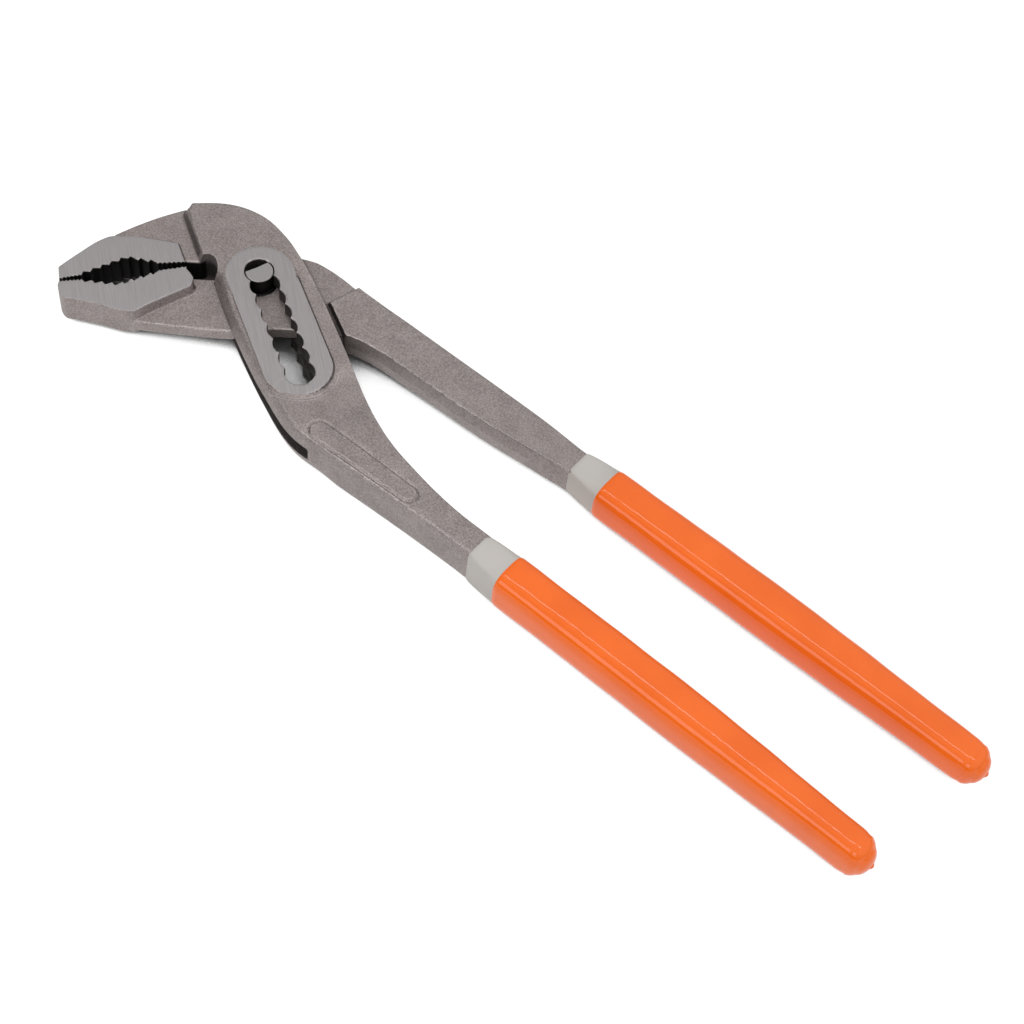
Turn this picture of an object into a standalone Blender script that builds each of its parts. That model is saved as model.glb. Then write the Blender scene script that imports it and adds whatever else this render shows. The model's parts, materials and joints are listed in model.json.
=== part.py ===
"""Water pump pliers: two forged halves joined by a pin in a scalloped box joint, with dipped grips.

Plan drawing in millimetres: the pivot is the origin, +X runs towards the handles, +Y towards the upper
handle, and the forging's parting plane is z = 0. The whole tool is then stood on the ground, centred.
"""
import math

import bmesh
import bpy
import numpy as np
from mathutils import Matrix, Vector

MM = 0.001

# Box joint
SLOT_ANGLE = math.radians(-36.0)
SLOT_PITCH = 5.69
SLOT_POSITIONS = 8
SCALLOP_RADIUS = 4.5
BOSS_RADIUS = 10.2
BOSS_START = 0.7
BOSS_SHORT = 2.2
MORTISE_HALF = 2.4
MORTISE_RADIUS = 11.7
NECK_ROUND = 11.0
# Left flank: foot lines at the mortise's edge, and how far each slope leans in up to the boss's top
FLANKS = (
    ((-17.0, -3.9), (19.0, -30.0), 2.8),
    ((16.0, -28.4), (33.0, -37.3), 2.6),
    ((31.0, -36.5), (50.0, -42.9), 1.9),
)
# Slopes on the inner half: the lower jaw's back, the shoulder's wall, and the ramp up to the shoulder
JAW_SLOPE = ((-20.6, -34.4), (-13.2, -16.3), 1.15)
SHOULDER_SLOPE = ((16.5, 7.2), (33.0, -4.4), 1.6)
RAMP = ((27.6, 21.5), (8.8, -4.35), 13.0)
SLOPE_FOOT = 0.1
CUT_BEYOND = 4.0
CUT_THICKNESS = 8.0
CUT_THROUGH = 2.0

# Pivot pin
PIN_END_RADIUS = 4.2
PIN_FLAT_DISTANCE = 1.76
PIN_FLAT_ANGLE = math.radians(155.0)
PIN_SIDE_FLAT = 3.1
PIN_BODY_RADIUS = 5.1
PIN_BODY_HALF = 1.8
PIN_BORE_RADIUS = 5.4
PIN_HALF = 7.05

# Half thicknesses of the forgings
BOSS_HALF = 7.2
PLATE_HALF = 6.5
PAD_HALF = 4.95
JAW_NECK_HALF = 4.3
NECK_HALF = 2.1
SHOULDER_HALF = 4.6
EDGE_CHAMFER = 0.7
SHOULDER_CHAMFER = 0.5
CARTOUCHE_RISE = 0.3
CARTOUCHE_DEPTH = 1.0
CARTOUCHE_START = (48.9, -36.4)
CARTOUCHE_START_RADIUS = 2.9
CARTOUCHE_END = (81.4, -39.5)
CARTOUCHE_END_RADIUS = 2.3

# Jaws: the bite line starts at the tips and runs to the throat
BITE_TIP = (-46.1, -36.6)
BITE_ANGLE = math.radians(45.8)
BITE_LENGTH = 37.6
UPPER_CREST = ((0.0, 0.35), (6.5, 0.75), (20.5, 5.2), (29.5, 1.7), (37.6, 0.9))
LOWER_CREST = ((0.0, -0.35), (6.5, -0.75), (17.0, -4.0), (29.5, -0.7), (37.6, -0.5))
# Rows of teeth: where each row starts and ends along the bite, its count and its depth
TOOTH_ROWS = ((0.0, 6.5, 6, 0.45), (6.5, 29.5, 8, 1.1), (29.5, 37.6, 6, 0.5))
TOOTH_LEAN = 0.27

# Handles: the grip axis is y = start + slope * run + bend * run^2 from the collar
LOWER_COLLAR = (106.6, -42.0)
LOWER_SLOPE = -0.1213
LOWER_BEND = -0.00011
LOWER_END = 240.9
UPPER_COLLAR = (113.7, -0.8)
UPPER_SLOPE = -0.1174
UPPER_BEND = -0.000115
UPPER_END = 254.2
# Half width and half height of the steel at the collar, and of the grip at its lip, swell and end
LOWER_STEEL = (4.25, 6.45)
LOWER_GRIP = ((5.9, 7.2), (5.75, 7.2), (4.8, 6.6))
UPPER_STEEL = (4.3, 4.95)
STEEL_FIT = 0.1
# Upper handle: x and y of its middle, half width and half height at places up to the collar
UPPER_HANDLE = (
    (46.0, 5.1, 7.1, 4.6),
    (62.0, 3.75, 6.65, 4.7),
    (81.0, 2.0, 6.3, 4.8),
    (100.0, 0.25, 5.5, 4.9),
)
HANDLE_POWER = 6.0
UPPER_GRIP = ((6.3, 6.2), (6.5, 6.25), (5.3, 5.6))
COLLAR_LENGTH = 10.6
COLLAR_FULL_AT = 7.0
COLLAR_START_POWER = 8.0
COLLAR_FULL_POWER = 5.0
COLLAR_UNDER_LIP = 0.12
SWELL_AT = 36.0
GRIP_POWER = 4.2
RING_POINTS = 20
GAP = 0.25
COLLAR_RISE = 0.65
LIP_THICKNESS = 0.3
TANG_SHORT = 12.0
TANG_COVER = 1.3
TANG_LEAD = 6.0
LOFT_STOPS = 9
BASE_END = 2.0
END_ROUND = 5.5
END_SHARES = (0.35, 0.65, 0.85, 0.96)
TEAT_RADIUS = 2.0
TEAT_LENGTH = 0.5
TEAT_STEPS = ((0.0, 1.0), (0.6, 0.9), (1.0, 0.45))
CURVE_STEPS = 5
ROUND_STEPS = 14
SCALLOP_STEPS = 4
BOSS_STEPS = 16
WELD = 1e-7
FLAT_ANGLE = math.radians(0.5)

along = Vector((math.cos(SLOT_ANGLE), math.sin(SLOT_ANGLE)))
across = Vector((-along.y, along.x))
SLOT_TRAVEL = SLOT_PITCH * (SLOT_POSITIONS - 1)


def corner(x, y):
    """Outline point with a sharp corner."""
    return (x, y, 'VECTOR')


def smooth(x, y):
    """Outline point that the outline curves through."""
    return (x, y, 'AUTO')


def slot_point(distance, offset):
    """Plan point at a distance along the slot and an offset across it."""
    point = along * distance + across * offset
    return (point.x, point.y)


def arc(centre, radius, start, end, steps):
    """Corner points on a circular arc, angles in degrees."""
    angles = np.radians(np.linspace(start, end, steps + 1))
    return [corner(centre[0] + radius * math.cos(a), centre[1] + radius * math.sin(a)) for a in angles]


def clear_scene():
    for obj in list(bpy.data.objects):
        bpy.data.objects.remove(obj, do_unlink=True)
    for group in list(bpy.data.collections):
        bpy.data.collections.remove(group)


def new_collection(name):
    group = bpy.data.collections.new(name)
    bpy.context.scene.collection.children.link(group)
    return group


def finish_material(name, colour, roughness, metallic):
    material = bpy.data.materials.new(name)
    material.use_nodes = True
    shader = material.node_tree.nodes['Principled BSDF']
    shader.inputs['Base Color'].default_value = (*colour, 1.0)
    shader.inputs['Roughness'].default_value = roughness
    shader.inputs['Metallic'].default_value = metallic
    return material


def mesh_object(name, mesh, group):
    obj = bpy.data.objects.new(name, mesh)
    group.objects.link(obj)
    return obj


def prism(name, outline, half, group, chamfer=0.0, lift=0.0):
    """Closed plan outline extruded both ways from the parting plane, with chamfered edges if asked."""
    curve = bpy.data.curves.new(name, 'CURVE')
    curve.dimensions = '2D'
    curve.fill_mode = 'BOTH'
    curve.resolution_u = CURVE_STEPS
    curve.extrude = half * MM
    spline = curve.splines.new('BEZIER')
    spline.bezier_points.add(len(outline) - 1)
    spline.use_cyclic_u = True
    for point, (x, y, kind) in zip(spline.bezier_points, outline):
        point.co = (x * MM, y * MM, 0.0)
        point.handle_left_type = kind
        point.handle_right_type = kind
    drawn = mesh_object(name, curve, group)
    drawn.location.z = lift * MM
    bpy.context.view_layer.update()
    solid = bpy.data.meshes.new_from_object(drawn.evaluated_get(bpy.context.evaluated_depsgraph_get()))
    place = drawn.matrix_world.copy()
    bpy.data.objects.remove(drawn, do_unlink=True)
    bpy.data.curves.remove(curve)
    shape = bmesh.new()
    shape.from_mesh(solid)
    bmesh.ops.remove_doubles(shape, verts=shape.verts, dist=WELD)
    bmesh.ops.recalc_face_normals(shape, faces=shape.faces)
    bmesh.ops.dissolve_limit(shape, angle_limit=FLAT_ANGLE, verts=shape.verts, edges=shape.edges)
    if chamfer:
        rim = [edge for edge in shape.edges
               if sum(abs(face.normal.z) > 0.5 for face in edge.link_faces) == 1]
        bmesh.ops.bevel(shape, geom=rim, offset=chamfer * MM, segments=1, affect='EDGES')
    shape.to_mesh(solid)
    shape.free()
    obj = mesh_object(name, solid, group)
    obj.matrix_world = place
    return obj


def cylinder(name, radius, half, group, segments=40):
    shape = bmesh.new()
    bmesh.ops.create_cone(shape, cap_ends=True, segments=segments, radius1=radius * MM,
                          radius2=radius * MM, depth=2 * half * MM)
    solid = bpy.data.meshes.new(name)
    shape.to_mesh(solid)
    shape.free()
    return mesh_object(name, solid, group)


def block(name, size, place, group):
    """Box of the given sizes whose centre and turn come from a placing matrix."""
    shape = bmesh.new()
    bmesh.ops.create_cube(shape, size=1.0)
    bmesh.ops.scale(shape, vec=[length * MM for length in size], verts=shape.verts)
    bmesh.ops.transform(shape, matrix=place, verts=shape.verts)
    solid = bpy.data.meshes.new(name)
    shape.to_mesh(solid)
    shape.free()
    return mesh_object(name, solid, group)


def combine(target, tool, operation):
    """Join, cut or trim a piece with a tool body that isn't itself a piece."""
    tool.hide_render = True
    tool.display_type = 'WIRE'
    step = target.modifiers.new(tool.name, 'BOOLEAN')
    step.operation = operation
    step.object = tool
    step.solver = 'EXACT'


def ring(centre, direction, half_width, half_height, power):
    """Rounded-rectangle section (a superellipse) square to a direction in the plan."""
    angles = np.linspace(0.0, 2.0 * math.pi, RING_POINTS, endpoint=False) + math.pi / RING_POINTS
    side = half_width * np.sign(np.cos(angles)) * np.abs(np.cos(angles)) ** (2.0 / power)
    rise = half_height * np.sign(np.sin(angles)) * np.abs(np.sin(angles)) ** (2.0 / power)
    normal = Vector((-direction.y, direction.x)).normalized()
    return [Vector((centre[0] + normal.x * s, centre[1] + normal.y * s, r)) * MM
            for s, r in zip(side, rise)]


def loft(name, sections, group):
    """Skin over a row of like sections, closed at both ends."""
    shape = bmesh.new()
    rows = [[shape.verts.new(point) for point in section] for section in sections]
    for first, second in zip(rows, rows[1:]):
        for index in range(RING_POINTS):
            following = (index + 1) % RING_POINTS
            shape.faces.new((first[index], first[following], second[following], second[index]))
    shape.faces.new(rows[0])
    shape.faces.new(list(reversed(rows[-1])))
    bmesh.ops.recalc_face_normals(shape, faces=shape.faces)
    solid = bpy.data.meshes.new(name)
    shape.to_mesh(solid)
    shape.free()
    return mesh_object(name, solid, group)


def bite_points(crest, depth_sign):
    """Saw teeth along the bite line from throat to tip, each with a short steep side and a long one."""
    marks, heights = zip(*crest)
    places = [(BITE_LENGTH, 0.0)]
    for start, end, count, depth in TOOTH_ROWS:
        pitch = (end - start) / count
        for index in range(count):
            places.append((start + pitch * index, 0.0))
            places.append((start + pitch * (index + TOOTH_LEAN), depth))
    run = Vector((math.cos(BITE_ANGLE), math.sin(BITE_ANGLE)))
    rise = Vector((-run.y, run.x))
    points = []
    for place, depth in sorted(places, reverse=True):
        height = float(np.interp(place, marks, heights)) + depth_sign * depth
        point = Vector(BITE_TIP) + run * place + rise * height
        points.append(corner(point.x, point.y))
    return points


def slot_outline():
    """Row of overlapping circles: the arcs between their cusps, down one side and back up the other."""
    cusp = math.degrees(math.acos(SLOT_PITCH / 2 / SCALLOP_RADIUS))
    turn = math.degrees(SLOT_ANGLE)
    centres = [slot_point(index * SLOT_PITCH, 0.0) for index in range(SLOT_POSITIONS)]
    points = arc(centres[0], SCALLOP_RADIUS, turn + cusp, turn + 360.0 - cusp, ROUND_STEPS)[1:]
    for centre in centres[1:-1]:
        points += arc(centre, SCALLOP_RADIUS, turn + 180.0 + cusp, turn + 360.0 - cusp, SCALLOP_STEPS)[1:]
    points += arc(centres[-1], SCALLOP_RADIUS, turn + 180.0 + cusp, turn + 540.0 - cusp, ROUND_STEPS)[1:]
    for centre in reversed(centres[1:-1]):
        points += arc(centre, SCALLOP_RADIUS, turn + cusp, turn + 180.0 - cusp, SCALLOP_STEPS)[1:]
    return points


def obround(start, start_radius, end, end_radius, steps=12):
    """Outline with round ends about two centres."""
    heading = math.degrees(math.atan2(end[1] - start[1], end[0] - start[0]))
    return (arc(start, start_radius, heading + 90.0, heading + 270.0, steps)
            + arc(end, end_radius, heading - 90.0, heading + 90.0, steps))


def axis_place(collar, slope, bend, x):
    """Point and direction of a handle's axis at x."""
    run = x - collar[0]
    return (x, collar[1] + slope * run + bend * run * run), Vector((1.0, slope + 2.0 * bend * run))


def collar_corners(collar, slope, half_width):
    """Where a handle's two edges meet the collar, square to its axis."""
    normal = Vector((-slope, 1.0)).normalized() * half_width
    return (collar[0] + normal.x, collar[1] + normal.y), (collar[0] - normal.x, collar[1] - normal.y)


def section(handle, x, sizes, power=GRIP_POWER):
    """Ring square to the handle's axis at x."""
    collar, slope, bend = handle
    centre, direction = axis_place(collar, slope, bend, x)
    return ring(centre, direction, sizes[0], sizes[1], power)


def tang_size(handle, end, steel, tip, x):
    """Half sizes of the bar under the dips, which tapers evenly from just under the bare handle's."""
    collar_x = handle[0][0]
    share = (x - collar_x) / (end - TANG_SHORT - collar_x)
    ends = zip(steel, tip)
    return [(start - 2 * GAP) * (1.0 - share) + (last - TANG_COVER) * share for start, last in ends]


def tang(name, handle, end, steel, tip, group):
    stops = np.linspace(handle[0][0] - TANG_LEAD, end - TANG_SHORT, LOFT_STOPS)
    return loft(name, [section(handle, x, tang_size(handle, end, steel, tip, x)) for x in stops], group)


def dip(name, handle, inner, inner_end, outer, outer_end, round_length, teat, group):
    """Dip coating with a blind bore, sized at x by a function, and outer sizes and powers at places along x."""
    marks, widths, heights, powers = zip(*[(x, *sizes, power) for x, sizes, power in outer])

    def outer_size(x):
        return float(np.interp(x, marks, widths)), float(np.interp(x, marks, heights))

    start = marks[0]
    sections = [section(handle, x, inner(x)) for x in np.linspace(inner_end, start, LOFT_STOPS)]
    stops = sorted(set(np.linspace(start, outer_end - round_length, LOFT_STOPS + 1)) | set(marks[1:-1]))
    sections += [section(handle, x, outer_size(x), float(np.interp(x, marks, powers))) for x in stops]
    width, height = outer_size(outer_end - round_length)
    for share in END_SHARES:
        drawn_in = math.sqrt(1.0 - share * share)
        place = outer_end - round_length * (1.0 - share)
        sections.append(section(handle, place, (width * drawn_in, height * drawn_in)))
    if teat:
        for reach, share in TEAT_STEPS:
            radius = TEAT_RADIUS * share
            sections.append(section(handle, outer_end + TEAT_LENGTH * reach, (radius, radius)))
    return loft(name, sections, group)


def slope_cutter(name, start, end, low, high, inset, side, group):
    """Slanted block over a slope that rises from a foot line at the low height to the high one, leaning in to
    the line's left."""
    run = Vector((end[0] - start[0], end[1] - start[1]))
    length = run.length
    run.normalize()
    inward = Vector((-run.y, run.x))
    foot = Vector((0.0, low * side))
    slope = Vector((inset, (high - low) * side))
    deep = slope.length + CUT_BEYOND
    slope.normalize()
    outward = Vector((-slope.y * side, slope.x * side))
    middle = foot + slope * deep / 2 + outward * CUT_THICKNESS / 2
    centre = Vector(start) + run * length / 2 + inward * middle.x
    frame = Matrix((
        (-run.x * side, inward.x * outward.x, inward.x * slope.x, centre.x * MM),
        (-run.y * side, inward.y * outward.x, inward.y * slope.x, centre.y * MM),
        (0.0, outward.y, slope.y, middle.y * MM),
        (0.0, 0.0, 0.0, 1.0)))
    return block(name, (length, CUT_THICKNESS, deep), frame, group)


def build_box_half(parts, tools):
    inner_edge, outer_edge = collar_corners(LOWER_COLLAR, LOWER_SLOPE, LOWER_STEEL[0] + STEEL_FIT)
    body = prism('box_half', [
        corner(-16.9, -5.3), corner(-32.0, 6.2), smooth(-33.4, 8.2), smooth(-30.8, 11.3),
        smooth(-20.5, 17.4), smooth(-11.7, 18.5), smooth(-2.6, 16.3), smooth(8.0, 11.0), smooth(38.0, -8.7),
        smooth(46.0, -14.4), smooth(55.0, -20.9), smooth(64.2, -27.5), smooth(74.0, -30.7),
        smooth(86.6, -34.1), smooth(96.1, -36.2), corner(*inner_edge),
        corner(*outer_edge), smooth(84.5, -43.9), smooth(55.5, -41.8), smooth(43.2, -41.0),
        smooth(26.5, -33.5), smooth(8.3, -22.4), smooth(-4.0, -13.7), corner(-9.6, -9.4)],
        PLATE_HALF, parts, EDGE_CHAMFER)
    notch = prism('throat_notch', [
        corner(-9.3, -9.7), corner(-9.2, -6.6), smooth(-11.9, -4.1), smooth(-14.5, -3.1),
        smooth(-16.5, -3.7), corner(-16.95, -5.6), corner(-16.6, -14.0), corner(-10.0, -14.0)],
        BOSS_HALF + CUT_THROUGH, tools)
    jaw_neck = prism('upper_jaw_neck', [
        corner(-34.0, 8.0), smooth(-38.4, 0.9), smooth(-41.7, -5.7), corner(-44.6, -12.6),
        corner(-44.2, -16.0), corner(-30.0, -12.5), corner(-21.2, -8.4), corner(-17.2, -5.8),
        corner(-18.5, 2.0), corner(-27.0, 9.0)], JAW_NECK_HALF, tools)
    jaw_pad = prism('upper_jaw_pad', [
        corner(-49.4, -33.0), smooth(-48.0, -24.7), smooth(-46.2, -17.2), smooth(-44.9, -14.6),
        smooth(-42.0, -12.3), corner(-27.1, -4.6), corner(-21.5, -8.7)]
        + bite_points(UPPER_CREST, 1.0), PAD_HALF, tools)
    boss_start = slot_point(BOSS_START, 0.0)
    boss_end = slot_point(SLOT_TRAVEL - BOSS_SHORT, 0.0)
    rounded = obround(boss_start, BOSS_RADIUS, boss_end, BOSS_RADIUS, BOSS_STEPS)
    boss = prism('boss', rounded, BOSS_HALF, tools)
    raised = obround(CARTOUCHE_START, CARTOUCHE_START_RADIUS, CARTOUCHE_END, CARTOUCHE_END_RADIUS)
    cartouche = prism('cartouche', raised, CARTOUCHE_DEPTH, tools,
                      lift=PLATE_HALF + CARTOUCHE_RISE - CARTOUCHE_DEPTH)
    bar = tang('lower_tang', (LOWER_COLLAR, LOWER_SLOPE, LOWER_BEND), LOWER_END, LOWER_STEEL, LOWER_GRIP[2],
               tools)
    mortise = prism('mortise', arc((0.0, 0.0), MORTISE_RADIUS, 147.0, 205.0, 6) + [
        corner(-12.2, -9.0), corner(-14.0, -20.0), corner(40.0, -60.0), corner(47.2, -46.0),
        corner(47.8, -43.3), smooth(49.6, -38.0), smooth(52.8, -33.8), smooth(57.0, -30.8),
        corner(66.8, -27.3), corner(72.0, -22.0), corner(40.0, 12.0), corner(12.0, 30.0),
        corner(-8.0, 22.0), corner(-8.8, 14.0)], MORTISE_HALF, tools)
    slot = prism('scalloped_slot', slot_outline(), BOSS_HALF + CUT_THROUGH, tools)
    for solid in (jaw_neck, jaw_pad, boss, cartouche, bar):
        combine(body, solid, 'UNION')
    for side in (1.0, -1.0):
        for start, end, inset in FLANKS:
            cutter = slope_cutter('flank_cut', start, end, MORTISE_HALF, BOSS_HALF, inset, side, tools)
            combine(body, cutter, 'DIFFERENCE')
    for solid in (notch, mortise, slot):
        combine(body, solid, 'DIFFERENCE')
    return body


def build_inner_half(parts, tools):
    neck = prism('inner_half', [
        corner(-27.0, -33.0), corner(-20.8, -34.4), smooth(-8.3, -27.7), smooth(5.6, -19.4),
        smooth(15.8, -10.9), smooth(21.5, -7.3), corner(36.0, -1.6), corner(38.0, 10.0), corner(24.5, 15.0),
        smooth(16.1, 16.3), smooth(9.0, 16.3), smooth(3.5, 14.4)]
        + arc((0.0, 0.0), NECK_ROUND, 100.0, 213.0, 8)
        + [corner(-17.5, -11.6), corner(-24.0, -18.0)], NECK_HALF, parts)
    pad = prism('lower_jaw_pad', bite_points(LOWER_CREST, -1.0) + [
        smooth(-46.0, -37.9), smooth(-44.0, -39.9), smooth(-41.2, -40.8), smooth(-37.6, -39.4),
        smooth(-30.6, -36.7), smooth(-24.6, -35.0), corner(-20.8, -34.4), smooth(-19.7, -32.2),
        smooth(-16.3, -23.6), smooth(-13.0, -15.6), smooth(-13.3, -13.8), smooth(-15.4, -12.3),
        corner(-19.2, -10.8)],
        PAD_HALF, tools)
    shoulder = prism('shoulder', [
        corner(16.9, 6.9), corner(32.2, -3.8), corner(33.4, -2.9), smooth(38.5, -1.8), corner(52.0, -2.2),
        corner(52.0, 11.7), corner(28.0, 14.7), corner(24.2, 15.1)], SHOULDER_HALF, tools, SHOULDER_CHAMFER)
    collar_stop = (*UPPER_COLLAR, *UPPER_STEEL)
    handle = loft('upper_handle', [ring((x, y), Vector((1.0, UPPER_SLOPE)), width, height, HANDLE_POWER)
                                   for x, y, width, height in (*UPPER_HANDLE, collar_stop)], tools)
    bar = tang('upper_tang', (UPPER_COLLAR, UPPER_SLOPE, UPPER_BEND), UPPER_END, UPPER_STEEL, UPPER_GRIP[2],
               tools)
    foot = NECK_HALF + SLOPE_FOOT
    for side in (1.0, -1.0):
        for start, end, inset in (SHOULDER_SLOPE, RAMP):
            cutter = slope_cutter('shoulder_cut', start, end, foot, SHOULDER_HALF, inset, side, tools)
            combine(shoulder, cutter, 'DIFFERENCE')
        start, end, inset = JAW_SLOPE
        combine(pad, slope_cutter('jaw_cut', start, end, foot, PAD_HALF, inset, side, tools), 'DIFFERENCE')
    for solid in (pad, shoulder, handle, bar):
        combine(neck, solid, 'UNION')
    combine(neck, cylinder('pin_bore', PIN_BORE_RADIUS, NECK_HALF + CUT_THROUGH, tools), 'DIFFERENCE')
    return neck


def build_pin(parts, tools):
    """Round body in the neck, with D-shaped ends that fit the scallops and pass between their cusps."""
    pin = cylinder('pivot_pin', PIN_END_RADIUS, PIN_HALF, parts)
    reach = 20.0
    flat = Matrix.Rotation(PIN_FLAT_ANGLE, 4, 'Z') @ Matrix.Translation((
        (PIN_FLAT_DISTANCE - reach / 2) * MM, 0.0, 0.0))
    combine(pin, block('pin_flat', (reach, reach, reach), flat, tools), 'INTERSECT')
    sides = Matrix.Rotation(SLOT_ANGLE, 4, 'Z')
    combine(pin, block('pin_sides', (reach, 2 * PIN_SIDE_FLAT, reach), sides, tools), 'INTERSECT')
    combine(pin, cylinder('pin_body', PIN_BODY_RADIUS, PIN_BODY_HALF, tools), 'UNION')
    return pin


def build_grip(side, handle, end, steel, grip, parts):
    """Grey base dip with its bare collar, and the coloured sleeve over it."""
    collar_x = handle[0][0]
    lip = collar_x + COLLAR_LENGTH
    at_lip, at_swell, at_end = grip
    base_start = [value + COLLAR_RISE for value in steel]
    base_swell = [value - COLLAR_UNDER_LIP for value in at_lip]
    base_full = [value - LIP_THICKNESS - GAP for value in at_lip]
    base_tip = [value - LIP_THICKNESS - GAP for value in at_end]
    base_bore_end = end - TANG_SHORT + GAP
    base_end = base_bore_end + BASE_END

    def base_bore(x):
        return [value + GAP for value in tang_size(handle, end, steel, at_end, x)]

    def cover_bore(x):
        share = (x - lip) / (base_end - lip)
        return [first * (1.0 - share) + last * share + GAP for first, last in zip(base_full, base_tip)]

    base = dip(side + '_grip_base', handle, base_bore, base_bore_end,
               ((collar_x + GAP, base_start, COLLAR_START_POWER),
                (collar_x + COLLAR_FULL_AT, base_swell, COLLAR_FULL_POWER),
                (lip, base_full, GRIP_POWER), (base_end, base_tip, GRIP_POWER)),
               base_end, BASE_END, False, parts)
    cover = dip(side + '_grip_sleeve', handle, cover_bore, base_end + GAP,
                ((lip, at_lip, GRIP_POWER), (collar_x + SWELL_AT, at_swell, GRIP_POWER),
                 (end, at_end, GRIP_POWER)),
                end, END_ROUND, True, parts)
    return base, cover


def main():
    clear_scene()
    parts = new_collection('water_pump_pliers')
    tools = new_collection('construction')
    steel = finish_material('forged_steel', (0.28, 0.25, 0.235), 0.42, 0.85)
    pin_steel = finish_material('pin_steel', (0.10, 0.095, 0.09), 0.38, 0.9)
    grey = finish_material('grey_dip', (0.47, 0.45, 0.42), 0.5, 0.0)
    orange = finish_material('orange_dip', (0.88, 0.17, 0.025), 0.32, 0.0)

    box_half = build_box_half(parts, tools)
    inner_half = build_inner_half(parts, tools)
    pin = build_pin(parts, tools)
    lower = (LOWER_COLLAR, LOWER_SLOPE, LOWER_BEND)
    upper = (UPPER_COLLAR, UPPER_SLOPE, UPPER_BEND)
    lower_base, lower_sleeve = build_grip('lower', lower, LOWER_END, LOWER_STEEL, LOWER_GRIP, parts)
    upper_base, upper_sleeve = build_grip('upper', upper, UPPER_END, UPPER_STEEL, UPPER_GRIP, parts)
    for obj, material in ((box_half, steel), (inner_half, steel), (pin, pin_steel), (lower_base, grey),
                          (upper_base, grey), (lower_sleeve, orange), (upper_sleeve, orange)):
        obj.data.materials.clear()
        obj.data.materials.append(material)

    ground = bpy.data.objects.new('ground_frame', None)
    pivot = bpy.data.objects.new('pivot_axis', None)
    for empty in (ground, pivot):
        parts.objects.link(empty)
    pivot.parent = ground
    pin.parent = pivot
    inner_half.parent = pivot
    upper_base.parent = inner_half
    upper_sleeve.parent = inner_half
    box_half.parent = ground
    lower_base.parent = box_half
    lower_sleeve.parent = box_half
    for tool in tools.objects:
        tool.parent = ground

    bpy.context.view_layer.update()
    depsgraph = bpy.context.evaluated_depsgraph_get()
    solids = (box_half, inner_half, pin, lower_base, lower_sleeve, upper_base, upper_sleeve)
    points = np.array([obj.evaluated_get(depsgraph).matrix_world @ Vector(spot)
                       for obj in solids for spot in obj.evaluated_get(depsgraph).bound_box])
    low, high = points.min(axis=0), points.max(axis=0)
    ground.location = (-(low[0] + high[0]) / 2, -(low[1] + high[1]) / 2, -low[2])
    print('pivot at', [round(value, 6) for value in ground.location])
    print('size', [round(value, 6) for value in high - low])


main()
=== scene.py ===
import json
import math

import bpy
import numpy as np
from mathutils import Matrix


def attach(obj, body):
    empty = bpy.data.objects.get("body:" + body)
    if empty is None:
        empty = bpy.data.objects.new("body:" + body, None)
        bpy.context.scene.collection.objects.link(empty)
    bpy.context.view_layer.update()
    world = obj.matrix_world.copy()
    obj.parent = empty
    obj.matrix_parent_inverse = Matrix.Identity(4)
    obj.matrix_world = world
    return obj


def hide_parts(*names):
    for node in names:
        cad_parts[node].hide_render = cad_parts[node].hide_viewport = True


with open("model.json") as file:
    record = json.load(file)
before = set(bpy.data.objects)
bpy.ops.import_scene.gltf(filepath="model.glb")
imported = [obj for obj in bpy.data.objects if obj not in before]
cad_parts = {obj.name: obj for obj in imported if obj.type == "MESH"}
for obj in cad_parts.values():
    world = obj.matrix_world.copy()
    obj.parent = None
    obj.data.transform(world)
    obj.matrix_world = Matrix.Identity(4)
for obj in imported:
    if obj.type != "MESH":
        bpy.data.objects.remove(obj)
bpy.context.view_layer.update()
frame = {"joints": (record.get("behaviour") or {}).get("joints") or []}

# Sizes are millimetres in the pivot's frame: the pin's centre is at 0, 0, and z is 0 on the parting plane
MM = 0.001
JOINTS = {joint["name"]: joint for joint in frame["joints"]}
PIVOT = np.array(JOINTS["jaw_opening"]["pos_m"])
SLOT_RUN = np.array(JOINTS["pivot_position"]["axis"][:2])
SLOT_LENGTH = JOINTS["pivot_position"]["range_m"][1] / MM
POSITIONS = 8
PITCH = SLOT_LENGTH / (POSITIONS - 1)
SCALLOP_RADIUS = 4.5
CORNER = "corner"

# Half heights above the parting plane
BOSS_HIGH = 7.2
PLATE_HIGH = 6.45
MORTISE_HIGH = 2.4
PAD_HIGH = 4.95
UPPER_NECK_HIGH = 4.3
NECK_HIGH = 2.1
SHOULDER_HIGH = 4.6

# The boss round the slot, its ends along the slot, and the pin's bore in the neck
BOSS_RADIUS = 10.2
BOSS_ENDS = (0.7, SLOT_LENGTH - 2.2)
BORE_RADIUS = 5.4

# The bite line runs from the jaw tips up to the throat
BITE_TIP = np.array([-46.1, -36.6])
BITE_ANGLE = math.radians(45.8)
BITE_RUN = np.array([math.cos(BITE_ANGLE), math.sin(BITE_ANGLE)])
BITE_RISE = np.array([-math.sin(BITE_ANGLE), math.cos(BITE_ANGLE)])
BITE_LENGTH = 37.6
UPPER_CREST = ((0.0, 0.35), (6.5, 0.75), (20.5, 5.2), (29.5, 1.7), (37.6, 0.9))
LOWER_CREST = ((0.0, -0.35), (6.5, -0.75), (17.0, -4.0), (29.5, -0.7), (37.6, -0.5))
# Rows of teeth along the bite: where each row starts and ends, its count and its depth
TOOTH_ROWS = ((0.0, 6.5, 6, 0.45), (6.5, 29.5, 8, 1.1), (29.5, 37.6, 6, 0.5))
TOOTH_LEAN = 0.27

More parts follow.
